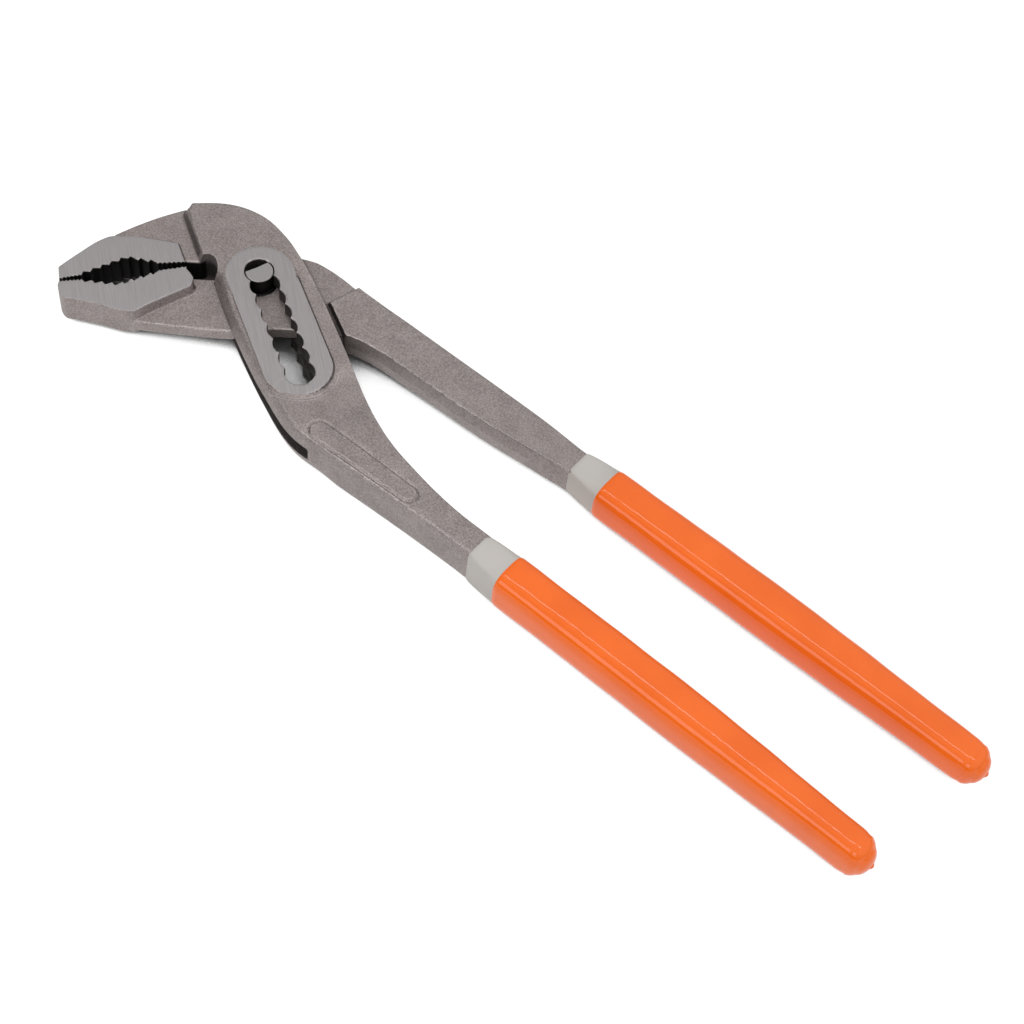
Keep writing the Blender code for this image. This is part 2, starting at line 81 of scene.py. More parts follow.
# Plan outlines of the two halves and of the hollows in them
BODY = (
    (-17.6, -6.1, CORNER), (-32.7, 5.4, CORNER), (-33.4, 7.7), (-33.0, 9.3), (-30.8, 11.3), (-20.5, 17.4),
    (-11.7, 18.5), (-2.6, 16.3), (8.0, 11.0), (38.0, -8.7), (46.0, -14.5), (55.0, -20.9),
    (60.5, -24.4), (65.5, -27.0), (71.0, -29.3), (77.1, -31.3), (86.6, -34.1), (96.1, -36.2),
    (107.1, -37.7), (112.0, -38.4, CORNER), (111.0, -46.8, CORNER), (105.8, -46.1), (84.5, -43.9),
    (55.5, -41.8), (43.2, -41.0), (26.5, -33.5), (8.3, -22.4), (-4.0, -13.7), (-9.6, -9.4, CORNER),
)
NOTCH = (
    (-10.2, -9.7, CORNER), (-10.2, -7.2), (-12.1, -4.7), (-14.5, -3.5), (-16.5, -4.1),
    (-17.4, -5.9, CORNER), (-16.9, -14.0, CORNER), (-10.6, -14.0, CORNER),
)
MORTISE = (
    (-9.8, 6.4, CORNER), (-11.7, 0.0), (-10.6, -4.9, CORNER), (-12.2, -9.0, CORNER),
    (-14.0, -20.0, CORNER), (40.0, -60.0, CORNER), (47.2, -46.0, CORNER), (47.8, -43.3, CORNER),
    (49.6, -38.0), (52.8, -33.8), (57.0, -30.8), (66.8, -27.3, CORNER), (72.0, -22.0, CORNER),
    (40.0, 12.0, CORNER), (12.0, 30.0, CORNER), (-8.0, 22.0, CORNER), (-8.8, 14.0, CORNER),
)
UPPER_NECK = (
    (-34.0, 8.0, CORNER), (-38.4, 0.9), (-41.7, -5.7), (-44.6, -12.6, CORNER), (-44.2, -16.0, CORNER),
    (-30.0, -12.5, CORNER), (-21.2, -8.4, CORNER), (-17.2, -5.8, CORNER), (-18.5, 2.0, CORNER),
    (-27.0, 9.0, CORNER),
)
UPPER_PAD_BACK = (
    (-49.4, -33.0, CORNER), (-48.0, -24.7), (-46.2, -17.2), (-44.9, -14.6), (-42.0, -12.3),
    (-27.1, -4.6, CORNER), (-21.5, -8.7, CORNER),
)
LOWER_PAD_BACK = (
    (-45.3, -38.1), (-43.3, -40.0), (-41.2, -40.8), (-37.6, -39.4), (-30.6, -36.7), (-24.6, -35.0),
    (-20.8, -34.4, CORNER), (-19.7, -32.2), (-18.5, -28.7), (-16.3, -23.6), (-14.1, -18.5), (-13.0, -15.6),
    (-13.3, -13.8), (-15.4, -12.3), (-19.2, -10.8, CORNER),
)
NECK = (
    (-27.0, -33.0, CORNER), (-20.8, -34.4, CORNER), (-8.3, -27.7), (5.6, -19.4), (15.8, -10.9),
    (21.5, -7.3), (30.0, -3.5, CORNER), (36.0, 0.5, CORNER), (38.0, 10.0, CORNER), (24.5, 15.0, CORNER),
    (16.1, 16.3), (9.0, 16.3), (3.5, 14.4), (-1.9, 10.8, CORNER), (-8.2, 7.3), (-11.0, 0.0),
    (-9.2, -6.0, CORNER), (-17.5, -11.6, CORNER), (-24.0, -18.0, CORNER),
)
UPPER_HANDLE = (
    (13.4, 10.7, CORNER), (33.2, -2.75, CORNER), (38.5, -1.9), (45.0, -1.7),
    (52.6, -2.25), (65.0, -3.3), (79.0, -4.6), (86.0, -5.05), (96.0, -5.25), (106.0, -5.2), (112.9, -5.15),
    (119.0, -5.7, CORNER), (119.6, 2.8, CORNER), (114.7, 3.4), (100.0, 5.9), (81.1, 8.3), (62.0, 10.5),
    (42.6, 12.75), (28.0, 14.15), (24.0, 14.6), (21.0, 15.3, CORNER),
)
# The raised panel on the lower handle: centre and radius at each end
PANEL = (np.array([48.9, -36.4]), 2.9, np.array([81.4, -39.5]), 2.3)
# The lower handle's middle line in plan
HANDLE_MIDDLE = (50.0, -36.5)
HANDLE_SLOPE = -0.0954
# A distance past every mark
FAR = 9.0

# The pin: its D-shaped ends, the flange inside the neck, and the chord's distance and direction
PIN_RADIUS = 4.3
PIN_HIGH = 7.05
PIN_FLANGE_RADIUS = 5.1
PIN_FLANGE_HIGH = 1.8
PIN_FLAT = 1.76
PIN_FLAT_ANGLE = math.radians(155.0)
PIN_BEVEL = 0.25
PIN_SIDES = 144

# The camera: what it looks at, from where, its roll, and its focal length on a 36 mm sensor
CAMERA_TARGET = (108.4, -27.8, BOSS_HIGH)
CAMERA_DISTANCE = 556.4
CAMERA_AZIMUTH = math.radians(26.17)
CAMERA_ELEVATION = math.radians(56.22)
CAMERA_ROLL = math.radians(8.26)
CAMERA_LENS = 70.29

# Grid lines along x, y and z for each half: start, end and about how far apart
BOX_GRID = (
    ((-50.4, -16.0, 0.3), (-16.0, 85.0, 0.5), (85.0, 113.0, 1.0)),
    ((-48.0, -42.0, 0.4), (-42.0, -4.0, 0.32), (-4.0, 20.0, 0.45)),
    ((-7.7, 7.7, 0.5),),
)
INNER_GRID = (
    ((-47.5, -10.0, 0.3), (-10.0, 45.0, 0.5), (45.0, 120.6, 1.0)),
    ((-42.5, -8.0, 0.3), (-8.0, 18.0, 0.4)),
    ((-5.6, 5.6, 0.45),),
)
# Contouring: tries at each crossing, the probe for normals, and the pull to the mean of a cell's crossings
CROSSING_TRIES = 3
NORMAL_PROBE = 0.03
MEAN_PULL = 0.04
# Angles above which an edge is shaded as sharp, and how fast a proud edge takes wear and a painted
# highlight
FORGED_SHARP = math.radians(38.0)
PIN_SHARP = math.radians(30.0)
EDGE_WEAR_AND_HIGHLIGHT = 4.0

# Colours: the dull and the bright end of each finish, or a single one
FORGED = ((0.19, 0.161, 0.154, 1.0), (0.415, 0.366, 0.355, 1.0))
BRUSHED = ((0.30, 0.28, 0.283, 1.0), (0.37, 0.347, 0.349, 1.0))
TURNED = (0.5, 0.46, 0.45, 1.0)
# Lighter proud edges: partly their wear, partly a painted highlight
WEAR_AND_HIGHLIGHT = (0.52, 0.48, 0.46, 1.0)
# Painted shadow lines at the foot of the boss's right side and behind the upper pad
SHADOW_LINE = (0.02, 0.017, 0.016, 1.0)
# Painted shade in the teeth, the joint's hollows, the bore and on the walls beside them
RECESS_SHADE = (0.016, 0.014, 0.014, 1.0)
PIN_GROUND = ((0.28, 0.265, 0.265, 1.0), (0.37, 0.35, 0.35, 1.0))
PIN_OILED = ((0.012, 0.011, 0.011, 1.0), (0.03, 0.028, 0.027, 1.0))
GREY_DIP = ((0.425, 0.40, 0.373, 1.0), (0.487, 0.463, 0.435, 1.0))
ORANGE_DIP = ((0.81, 0.129, 0.01, 1.0), (0.88, 0.151, 0.014, 1.0))
WHITE = (1.0, 1.0, 1.0, 1.0)

# The forged finish: its noises' scales in 1/m, where most of a noise's values lie, and its bump in metres
PIT_SCALE = 1900.0
PATCH_SCALE = 160.0
BRUSH_SIZE = (0.00022, 0.012, 0.012)
NOISE_SPAN = (0.3, 0.7)
BRUSH_SPAN = (0.25, 0.75)
PIT_SHARE = 0.8
PATCH_SHARE = 0.2
FORGED_BUMP = 0.00004
FORGED_ROUGH = 0.5
BRUSHED_ROUGH = 0.36
FORGED_METAL = 0.85
# Its marks, in millimetres from a face's edge: the ground faces, the turned arcs, the painted shadow line,
# and the edges' wear with their painted highlight
GROUND_EDGE = (-0.04, 0.04)
ARC_TURN = 7.0
ARC_CREST = (0.2, 1.0)
ARC_COMES = (0.25, 0.6)
ARC_GOES = (2.0, 3.2)
ARC_PATCHES = (0.3, 0.55)
ARC_SHARE = 0.5
SHADOW_LINE_COMES = (-0.02, 0.1)
SHADOW_LINE_GOES = (0.5, 0.75)
SHADOW_LINE_SHARE = 0.65
WEAR_HIGHLIGHT_PITS = (0.35, 0.6)
WEAR_HIGHLIGHT_SHARE = 0.55
# The pin's and the dips' noises, in 1/m, their bumps in metres, and the ground ends of the pin
PIN_GRAIN = 2600.0
PIN_BUMP = 0.00001
PIN_FACE_EDGE = 0.00005
PIN_FACE_LOW = 0.1
PIN_ROUGH = 0.38
PIN_METAL = 0.9
DIP_DRIFT = 60.0
DIP_GRAIN = 2200.0
DIP_RIPPLE = 220.0
DIP_BUMP = 0.00005

# The floor, in metres: its half width, how far a tool's wall shades it, and the light it gives back
FLOOR_HALF = 6.0
SHADE_REACH = 0.03
SHADE_SHARES = (0.2, 0.34)
FLOOR_GLOW = 0.9
FLOOR_VEIL = (0.22, 0.22, 0.22, 1.0)
FLOOR_WHITE = (0.8, 0.8, 0.8, 1.0)

# The studio: where the tent is brightest, how it falls off, and each lamp's place, sides and power
BRIGHT_SIDE = (0.72, 0.48, 0.5)
TENT_SPREAD = (-0.7, 1.1)
TENT_POWER = 1.2
HORIZON_SPREAD = (0.0, 0.5)
HORIZON_SHARE = 0.3
LAMPS = {
    "front": ((-0.3, -0.74, 0.74), (1.3, 0.6), 7.0),
    "strip": ((-0.29, 0.33, 1.1), (1.4, 0.05), 1.7),
}


def eased(low, high, value):
    """0 below low and 1 above high, with three t squared less two t cubed between."""
    t = np.clip((value - low) / (high - low), 0.0, 1.0)
    return t * t * (3.0 - 2.0 * t)


def bell(value, centre, width):
    """e to the power of minus the squared offset from the centre over the width."""
    return np.exp(-(((value - centre) / width) ** 2))


def soft_union(a, b, blend):
    """The lesser of two distances, with a fillet: a parabola joins them where they differ by little."""
    share = np.clip(0.5 + 0.5 * (b - a) / blend, 0.0, 1.0)
    return b + (a - b) * share - blend * share * (1.0 - share)


def slab(side, rise, radius):
    """Distance to an upright solid from its plan distance and its height over the top, with a round rim."""
    out = side + radius
    up = rise + radius
    corner = np.hypot(np.maximum(out, 0.0), np.maximum(up, 0.0))
    return np.minimum(np.maximum(out, up), 0.0) + corner - radius


def spline(knots, samples=8):
    """Cubic stretches through the knots: an inner tangent is that of a parabola through its neighbours."""
    if len(knots) == 2:
        return knots[:1]
    step = np.diff(knots, axis=0)
    span = np.linalg.norm(step, axis=1)[:, None]
    slope = step / span
    inner = (slope[:-1] * span[1:] + slope[1:] * span[:-1]) / (span[:-1] + span[1:])
    first = 1.5 * slope[:1] - 0.5 * inner[:1]
    last = 1.5 * slope[-1:] - 0.5 * inner[-1:]
    tangent = np.concatenate([first, inner, last])
    t = (np.arange(samples) / samples)[None, :, None]
    start, end = knots[:-1, None], knots[1:, None]
    leave, arrive = (tangent[:-1] * span)[:, None], (tangent[1:] * span)[:, None]
    blend = t * t * (3.0 - 2.0 * t)
    curve = start + (end - start) * blend + leave * t * (1.0 - t) ** 2 - arrive * t * t * (1.0 - t)
    return curve.reshape(-1, 2)


def traced(points):
    """A closed plan curve through points, broken at the ones marked as corners and smooth between them."""
    plan = np.array([point[:2] for point in points])
    corners = [i for i, point in enumerate(points) if len(point) == 3]
    ends = corners[1:] + [corners[0] + len(points)]
    stretches = [plan[np.arange(a, b + 1) % len(points)] for a, b in zip(corners, ends)]
    return np.concatenate([spline(stretch) for stretch in stretches])


def teeth(crest, inward):
    """Saw teeth from the throat to the tip: each leaves its crest, drops by its depth and climbs back."""
    points = []
    for start, end, count, depth in TOOTH_ROWS:
        pitch = (end - start) / count
        crests = start + pitch * np.arange(count)
        roots = crests + TOOTH_LEAN * pitch
        points += [(s, 0.0) for s in crests] + [(s, depth) for s in roots]
    points.append((BITE_LENGTH, 0.0))
    along, depth = np.array(sorted(points)).T
    across = np.interp(along, *np.array(crest).T) + inward * depth
    plan = BITE_TIP + along[:, None] * BITE_RUN + across[:, None] * BITE_RISE
    return tuple((x, y, CORNER) for x, y in plan[::-1])


class PlanField:
    """Signed plan distance to a closed curve: worked out on a fine grid and read back bilinearly."""

    STEP = 0.15
    MARGIN = 3.0

    def __init__(self, curve):
        self.low = curve.min(0) - self.MARGIN
        count = np.ceil((curve.max(0) + self.MARGIN - self.low) / self.STEP).astype(int) + 1
        x = (self.low[0] + self.STEP * np.arange(count[0]))[:, None].astype(np.float32)
        y = (self.low[1] + self.STEP * np.arange(count[1]))[None, :].astype(np.float32)
        nearest = np.full(count, np.inf, np.float32)
        inside = np.zeros(count, bool)
        for (ax, ay), (bx, by) in zip(curve, np.roll(curve, -1, axis=0)):
            ex, ey = bx - ax, by - ay
            wx, wy = x - np.float32(ax), y - np.float32(ay)
            reach = (wx * np.float32(ex) + wy * np.float32(ey)) / np.float32(ex * ex + ey * ey)
            t = np.clip(reach, 0.0, 1.0)
            nearest = np.minimum(nearest, (wx - t * np.float32(ex)) ** 2 + (wy - t * np.float32(ey)) ** 2)
            spans = (ay <= y) != (by <= y)
            inside ^= spans & ((ex * wy > ey * wx) == (by > ay))
        self.values = np.where(inside, -1.0, 1.0) * np.sqrt(nearest)
        self.high = self.low + self.STEP * (count - 1)

    def __call__(self, x, y):
        """The grid's values between its points, and outside the grid also the distance to its edge."""
        cx = np.clip(x, self.low[0], self.high[0] - 1e-6)
        cy = np.clip(y, self.low[1], self.high[1] - 1e-6)
        u = (cx - self.low[0]) / self.STEP
        v = (cy - self.low[1]) / self.STEP
        i, j = u.astype(int), v.astype(int)
        i, j = np.minimum(i, self.values.shape[0] - 2), np.minimum(j, self.values.shape[1] - 2)
        f, g = u - i, v - j
        near = self.values[i, j] * (1.0 - g) + self.values[i, j + 1] * g
        far = self.values[i + 1, j] * (1.0 - g) + self.values[i + 1, j + 1] * g
        return near * (1.0 - f) + far * f + np.hypot(x - cx, y - cy)


def slot_axes(x, y):
    """Plan coordinates along the slot from the pin, and across it towards the upper handle."""
    return x * SLOT_RUN[0] + y * SLOT_RUN[1], -x * SLOT_RUN[1] + y * SLOT_RUN[0]


def bite_axes(x, y):
    """Plan coordinates along the bite line from its tip, and across it towards the upper jaw."""
    dx, dy = x - BITE_TIP[0], y - BITE_TIP[1]
    return dx * BITE_RUN[0] + dy * BITE_RUN[1], dx * BITE_RISE[0] + dy * BITE_RISE[1]


def boss_distance(along, across):
    """Plan distance to the obround boss round the slot."""
    return np.hypot(along - np.clip(along, *BOSS_ENDS), across) - BOSS_RADIUS


def slot_distance(along, across):
    """Plan distance to a row of equal circles, one at each position: that of the nearest circle."""
    nearest = np.clip(np.rint(along / PITCH), 0, POSITIONS - 1) * PITCH
    return np.hypot(along - nearest, across) - SCALLOP_RADIUS


def panel_distance(x, y):
    """Plan distance to the panel: to its middle line, less a radius that goes evenly from end to end."""
    start, start_radius, end, end_radius = PANEL
    run = end - start
    t = np.clip(((x - start[0]) * run[0] + (y - start[1]) * run[1]) / (run @ run), 0.0, 1.0)
    radius = start_radius + (end_radius - start_radius) * t
    return np.hypot(x - start[0] - t * run[0], y - start[1] - t * run[1]) - radius


class BoxHalf:
    """The half with the upper jaw, the slotted box and the lower handle, as one distance in space.

    A pair of numbers is a stretch over which a form comes or goes, along or across the slot or along x."""

    # The forged face: a dome at the jaw, a swell and a hollow past the boss's end, and the handle
    DOME_RISE = 0.68
    DOME_GOES = (0.0, 11.0)
    PAST_BOSS_COMES = (40.0, 47.0)
    PAST_BOSS_GOES = (54.0, 66.0)
    SWELL_RISE = 0.55
    SWELL_GOES = (-4.0, 2.0)
    HOLLOW_DEPTH = 0.5
    HOLLOW_COMES = (0.0, 4.0)
    HANDLE_RISE = 0.45
    HANDLE_COMES = (44.0, 62.0)
    # The panel's edge, and the groove round it: how far out, how wide and how deep
    PANEL_RISE = 0.3
    PANEL_EDGE = (0.25, -0.25)
    GROOVE_OUT = 0.5
    GROOVE_WIDE = 0.35
    GROOVE_DEEP = 0.3
    # The near flank's inset at the top: along the box, and what the box's end and the handle take off it
    FLANK_INSET = 2.8
    FLANK_COMES = (-10.0, -7.5)
    NEAR_SIDE_COMES = (0.5, 2.5)
    BOX_END_LESS = 0.9
    BOX_END_COMES = (14.0, 32.0)
    HANDLE_LESS = 1.3
    HANDLE_FLANK_COMES = (48.0, 60.0)
    # The flank's profile: a straight share, and one that bends over like an ellipse
    STRAIGHT_SHARE = 0.4
    BENT_SHARE = 0.88
    BENT_REACH = 0.9
    BACK_INSET = 0.3
    BACK_GOES = (18.0, 34.0)
    # The wall between the jaw's neck and the box
    STEP_RUN = 1.1
    STEP_TOP = PLATE_HIGH + 0.3
    STEP_GOES_ACROSS = (-12.8, -11.2)
    STEP_GOES_ALONG = (-10.4, -9.0)
    # Rims and fillets
    RIM = 0.45
    DOME_RIM = 0.8
    DOME_RIM_GOES = (-14.0, 0.0)
    DOME_RIM_COMES = (8.0, 13.0)
    DOME_RIM_SLOPE = 0.2
    HANDLE_RIM = 0.15
    HANDLE_RIM_COMES = (45.0, 70.0)
    BOSS_RIM = 0.15
    BOSS_FILLET = 0.12
    BOSS_MELT = 0.9
    BOSS_MELT_COMES = (40.0, 48.0)
    BOSS_MELT_GOES = (-4.0, 4.0)
    NECK_RIM = 0.6
    NECK_FILLET = 0.35
    PAD_RIM = 0.12
    MORTISE_RIM = 0.3
    MORTISE_END_RIM = 0.7
    MORTISE_END_COMES = (40.0, 47.0)
    SLOT_BEVEL = 0.25
    # The boss's end widens downwards to a cone
    CONE_SLOPE = 1.1
    CONE_LOW = PLATE_HIGH - 1.0
    CONE_COMES_ALONG = (34.0, 42.0)
    CONE_COMES_ACROSS = (-6.5, -1.5)
    # How dark the painted shade on each wall inside the joint is
    SLOT_DARK = 0.82
    MORTISE_DARK = 0.62
    STEP_DARK = 0.5
    THROAT_DARK = 0.8
    BOSS_DARK = 0.6
    # How far the marks reach from a face, a wall, the teeth's crests and the throat
    PAD_FACE = 0.1
    BOSS_FACE = 0.07
    SLOT_SKIN = 0.35
    MORTISE_SKIN = 0.2
    NOTCH_SKIN = 0.3
    STEP_SKIN = 0.3
    BOSS_SKIN = 0.4
    TOOTH_BAND = 1.7
    TIP_REACH = -0.8
    THROAT_REACH = 6.0
    # Heights that the marks stay below
    TEETH_TOP = PAD_HIGH - 0.2
    NECK_TEETH_TOP = UPPER_NECK_HIGH - 0.7
    SLOT_TOP = BOSS_HIGH - 0.3
    MORTISE_TOP = MORTISE_HIGH + 0.1
    THROAT_GOES = (NECK_HIGH, PLATE_HIGH - 1.5)
    BOSS_WALL_TOP = BOSS_HIGH - 0.12
    # Stretches of the marks: the step along and across the bite, the boss's wall and its painted shadow
    # line, the pad's painted shadow line
    STEP_BITE = 20.0
    STEP_GAPE = 3.0
    STEP_ALONG = -10.0
    BOSS_WALL_COMES = ((-4.0, 3.0), (0.0, 4.0))
    BOSS_SHADOW_COMES = ((-1.0, 5.0), (1.0, 6.0))
    PAD_SHADOW_COMES = ((24.5, 27.0), (1.5, 2.5))
    TURNED_COMES = (38.0, 44.0)

    def __init__(self):
        self.body = PlanField(traced(BODY))
        self.notch = PlanField(traced(NOTCH))
        self.mortise = PlanField(traced(MORTISE))
        self.neck = PlanField(traced(UPPER_NECK))
        self.pad = PlanField(traced(UPPER_PAD_BACK + teeth(UPPER_CREST, 1.0)))

    def crown(self, x, y, along, across, front):
        """Height of the forged face: a dome at the jaw, a swell and a hollow past the boss, a panel."""
        dome = self.DOME_RISE * (1.0 - eased(*self.DOME_GOES, along))
        past_end = eased(*self.PAST_BOSS_COMES, along) * (1.0 - eased(*self.PAST_BOSS_GOES, along))
        swell = self.SWELL_RISE * past_end * (1.0 - eased(*self.SWELL_GOES, across))
        hollow = self.HOLLOW_DEPTH * past_end * eased(*self.HOLLOW_COMES, across)
        rim = panel_distance(x, y)
        groove = self.GROOVE_DEEP * bell(rim, self.GROOVE_OUT, self.GROOVE_WIDE)
        panel = front * (self.PANEL_RISE * eased(*self.PANEL_EDGE, rim) - groove)
        handle = self.HANDLE_RISE * eased(*self.HANDLE_COMES, x)
        return PLATE_HIGH + dome + swell - hollow + handle + panel

    def lean(self, x, y, along, across):
        """Inset of the near flank at its top: deep along the box, less on the handle, none at the jaw."""
        middle = HANDLE_MIDDLE[1] + HANDLE_SLOPE * (x - HANDLE_MIDDLE[0])
        near = eased(*self.NEAR_SIDE_COMES, np.where(x < HANDLE_MIDDLE[0], -across, middle - y))
        inset = self.FLANK_INSET - self.BOX_END_LESS * eased(*self.BOX_END_COMES, x)
        inset = inset - self.HANDLE_LESS * eased(*self.HANDLE_FLANK_COMES, x)
        return near * inset * eased(*self.FLANK_COMES, along)

    def flank(self, x, z, lean):
        """Inset of the near flank at a height: straight at first, then bent over, and more on the back."""
        climb = np.clip((np.abs(z) - MORTISE_HIGH) / (BOSS_HIGH - MORTISE_HIGH), 0.0, 1.0)
        bent = self.BENT_SHARE * (1.0 - np.sqrt(1.0 - self.BENT_REACH * climb ** 2))
        back = self.BACK_INSET * (z < 0.0) * np.minimum(lean, 1.0) * (1.0 - eased(*self.BACK_GOES, x))
        return lean * (self.STRAIGHT_SHARE * climb + bent) + back

    def step(self, high, along, across):
        """Inset of the wall between the jaw's neck and the box, which leans back as it climbs."""
        beside_jaw = 1.0 - eased(*self.STEP_GOES_ACROSS, across)
        beside_jaw = beside_jaw * (1.0 - eased(*self.STEP_GOES_ALONG, along))
        climb = np.clip((high - UPPER_NECK_HIGH) / (self.STEP_TOP - UPPER_NECK_HIGH), 0.0, 1.0)
        return self.STEP_RUN * beside_jaw * climb

    def rim(self, x, y, along):
        """Radius of the plates' upper edge: rounder on the dome's far side and along the handle."""
        dome = 1.0 - eased(*self.DOME_RIM_GOES, along)
        dome = self.DOME_RIM * dome * eased(*self.DOME_RIM_COMES, y - self.DOME_RIM_SLOPE * x)
        return self.RIM + dome + self.HANDLE_RIM * eased(*self.HANDLE_RIM_COMES, x)

    def boss(self, high, along, across):
        """Distance to the boss: an upright obround whose far end widens downwards to a cone."""
        slope = self.CONE_SLOPE * eased(*self.CONE_COMES_ALONG, along)
        slope = slope * eased(*self.CONE_COMES_ACROSS, across)
        cone = slope * (BOSS_HIGH - np.clip(high, self.CONE_LOW, BOSS_HIGH))
        return slab(boss_distance(along, across) - cone, high - BOSS_HIGH, self.BOSS_RIM)

    def __call__(self, x, y, z):
        """Plates, boss, neck and pad joined, less the notch, the mortise and the slot."""
        high = np.abs(z)
        front = (z > 0.0).astype(float)
        along, across = slot_axes(x, y)
        flank = self.flank(x, z, self.lean(x, y, along, across)) + self.step(high, along, across)
        rise = high - self.crown(x, y, along, across, front)
        plates = slab(self.body(x, y) + flank, rise, self.rim(x, y, along))
        melt = self.BOSS_MELT * eased(*self.BOSS_MELT_COMES, along)
        melt = self.BOSS_FILLET + melt * (1.0 - eased(*self.BOSS_MELT_GOES, across))
        solid = soft_union(plates, self.boss(high, along, across), melt)
        solid = np.maximum(solid, high - BOSS_HIGH)
        neck = slab(self.neck(x, y), high - UPPER_NECK_HIGH, self.NECK_RIM)
        solid = soft_union(solid, neck, self.NECK_FILLET)
        solid = np.minimum(solid, slab(self.pad(x, y), high - PAD_HIGH, self.PAD_RIM))
        solid = np.maximum(solid, -self.notch(x, y))
        mortise_rim = self.MORTISE_RIM + self.MORTISE_END_RIM * eased(*self.MORTISE_END_COMES, x)
        solid = np.maximum(solid, -slab(self.mortise(x, y), high - MORTISE_HIGH, mortise_rim))
        slot = slot_distance(along, across) - np.clip(high - BOSS_HIGH + self.SLOT_BEVEL, 0.0, 1.0)
        return np.maximum(solid, -slot)

    def marks(self, x, y, z):
        """Where the steel is ground bright, where painted shade darkens the joint, the throat, the step's
        and the boss's walls and the teeth, and where painted shadow lines lie at the foot of steps.
        """
        high = np.abs(z)
        along, across = slot_axes(x, y)
        bite, gape = bite_axes(x, y)
        body, pad, boss = self.body(x, y), self.pad(x, y), boss_distance(along, across)
        pad_face = np.minimum(-pad, np.minimum(high - PAD_HIGH + self.PAD_FACE, body))
        boss_face = np.minimum(-boss, high - BOSS_HIGH + self.BOSS_FACE)

        root = np.interp(bite, *np.array(UPPER_CREST).T) + self.TOOTH_BAND
        below = np.where(bite < BITE_LENGTH, self.TEETH_TOP, self.NECK_TEETH_TOP)
        toothed = (gape < root) & (bite > self.TIP_REACH) & (high < below)
        toothed = toothed & (bite < BITE_LENGTH + self.THROAT_REACH)
        slot_wall = (slot_distance(along, across) < self.SLOT_SKIN) & (high < self.SLOT_TOP)
        mortise_wall = (self.mortise(x, y) < self.MORTISE_SKIN) & (high < self.MORTISE_TOP)
        throat = (self.notch(x, y) < self.NOTCH_SKIN) * (1.0 - eased(*self.THROAT_GOES, high))
        step = (np.abs(body + self.step(high, along, across)) < self.STEP_SKIN) & (high < PLATE_HIGH)
        step = step & (bite > self.STEP_BITE) & (gape > self.STEP_GAPE) & (along < self.STEP_ALONG)
        boss_wall = (np.abs(boss) < self.BOSS_SKIN) & (high < self.BOSS_WALL_TOP)
        beside, past = self.BOSS_WALL_COMES
        boss_wall = boss_wall * eased(*beside, across) * eased(*past, along)
        # Painted shade where shade falls: the teeth, the slot, the mortise, the throat, the step and the
        # boss's walls
        dark = np.maximum.reduce([
            1.0 * toothed, self.SLOT_DARK * slot_wall, self.MORTISE_DARK * mortise_wall,
            self.STEP_DARK * step, self.THROAT_DARK * throat, self.BOSS_DARK * boss_wall,
        ])

        # Painted shadow lines at the foot of the boss's right side and of the upper pad's rear edge
        beside, past = self.BOSS_SHADOW_COMES
        boss_shadow_line = boss + FAR * (1.0 - eased(*beside, across) * eased(*past, along))
        along_bite, above_bite = self.PAD_SHADOW_COMES
        pad_shadow_line = pad + FAR * (1.0 - eased(*along_bite, bite) * eased(*above_bite, gape))
        return {
            "ground": np.maximum(pad_face, boss_face), "recess_shade": dark,
            "shadow_line": np.minimum(boss_shadow_line, pad_shadow_line),
            "turned": boss + FAR * (1.0 - eased(*self.TURNED_COMES, along)),
            "lip": np.zeros_like(x),
        }


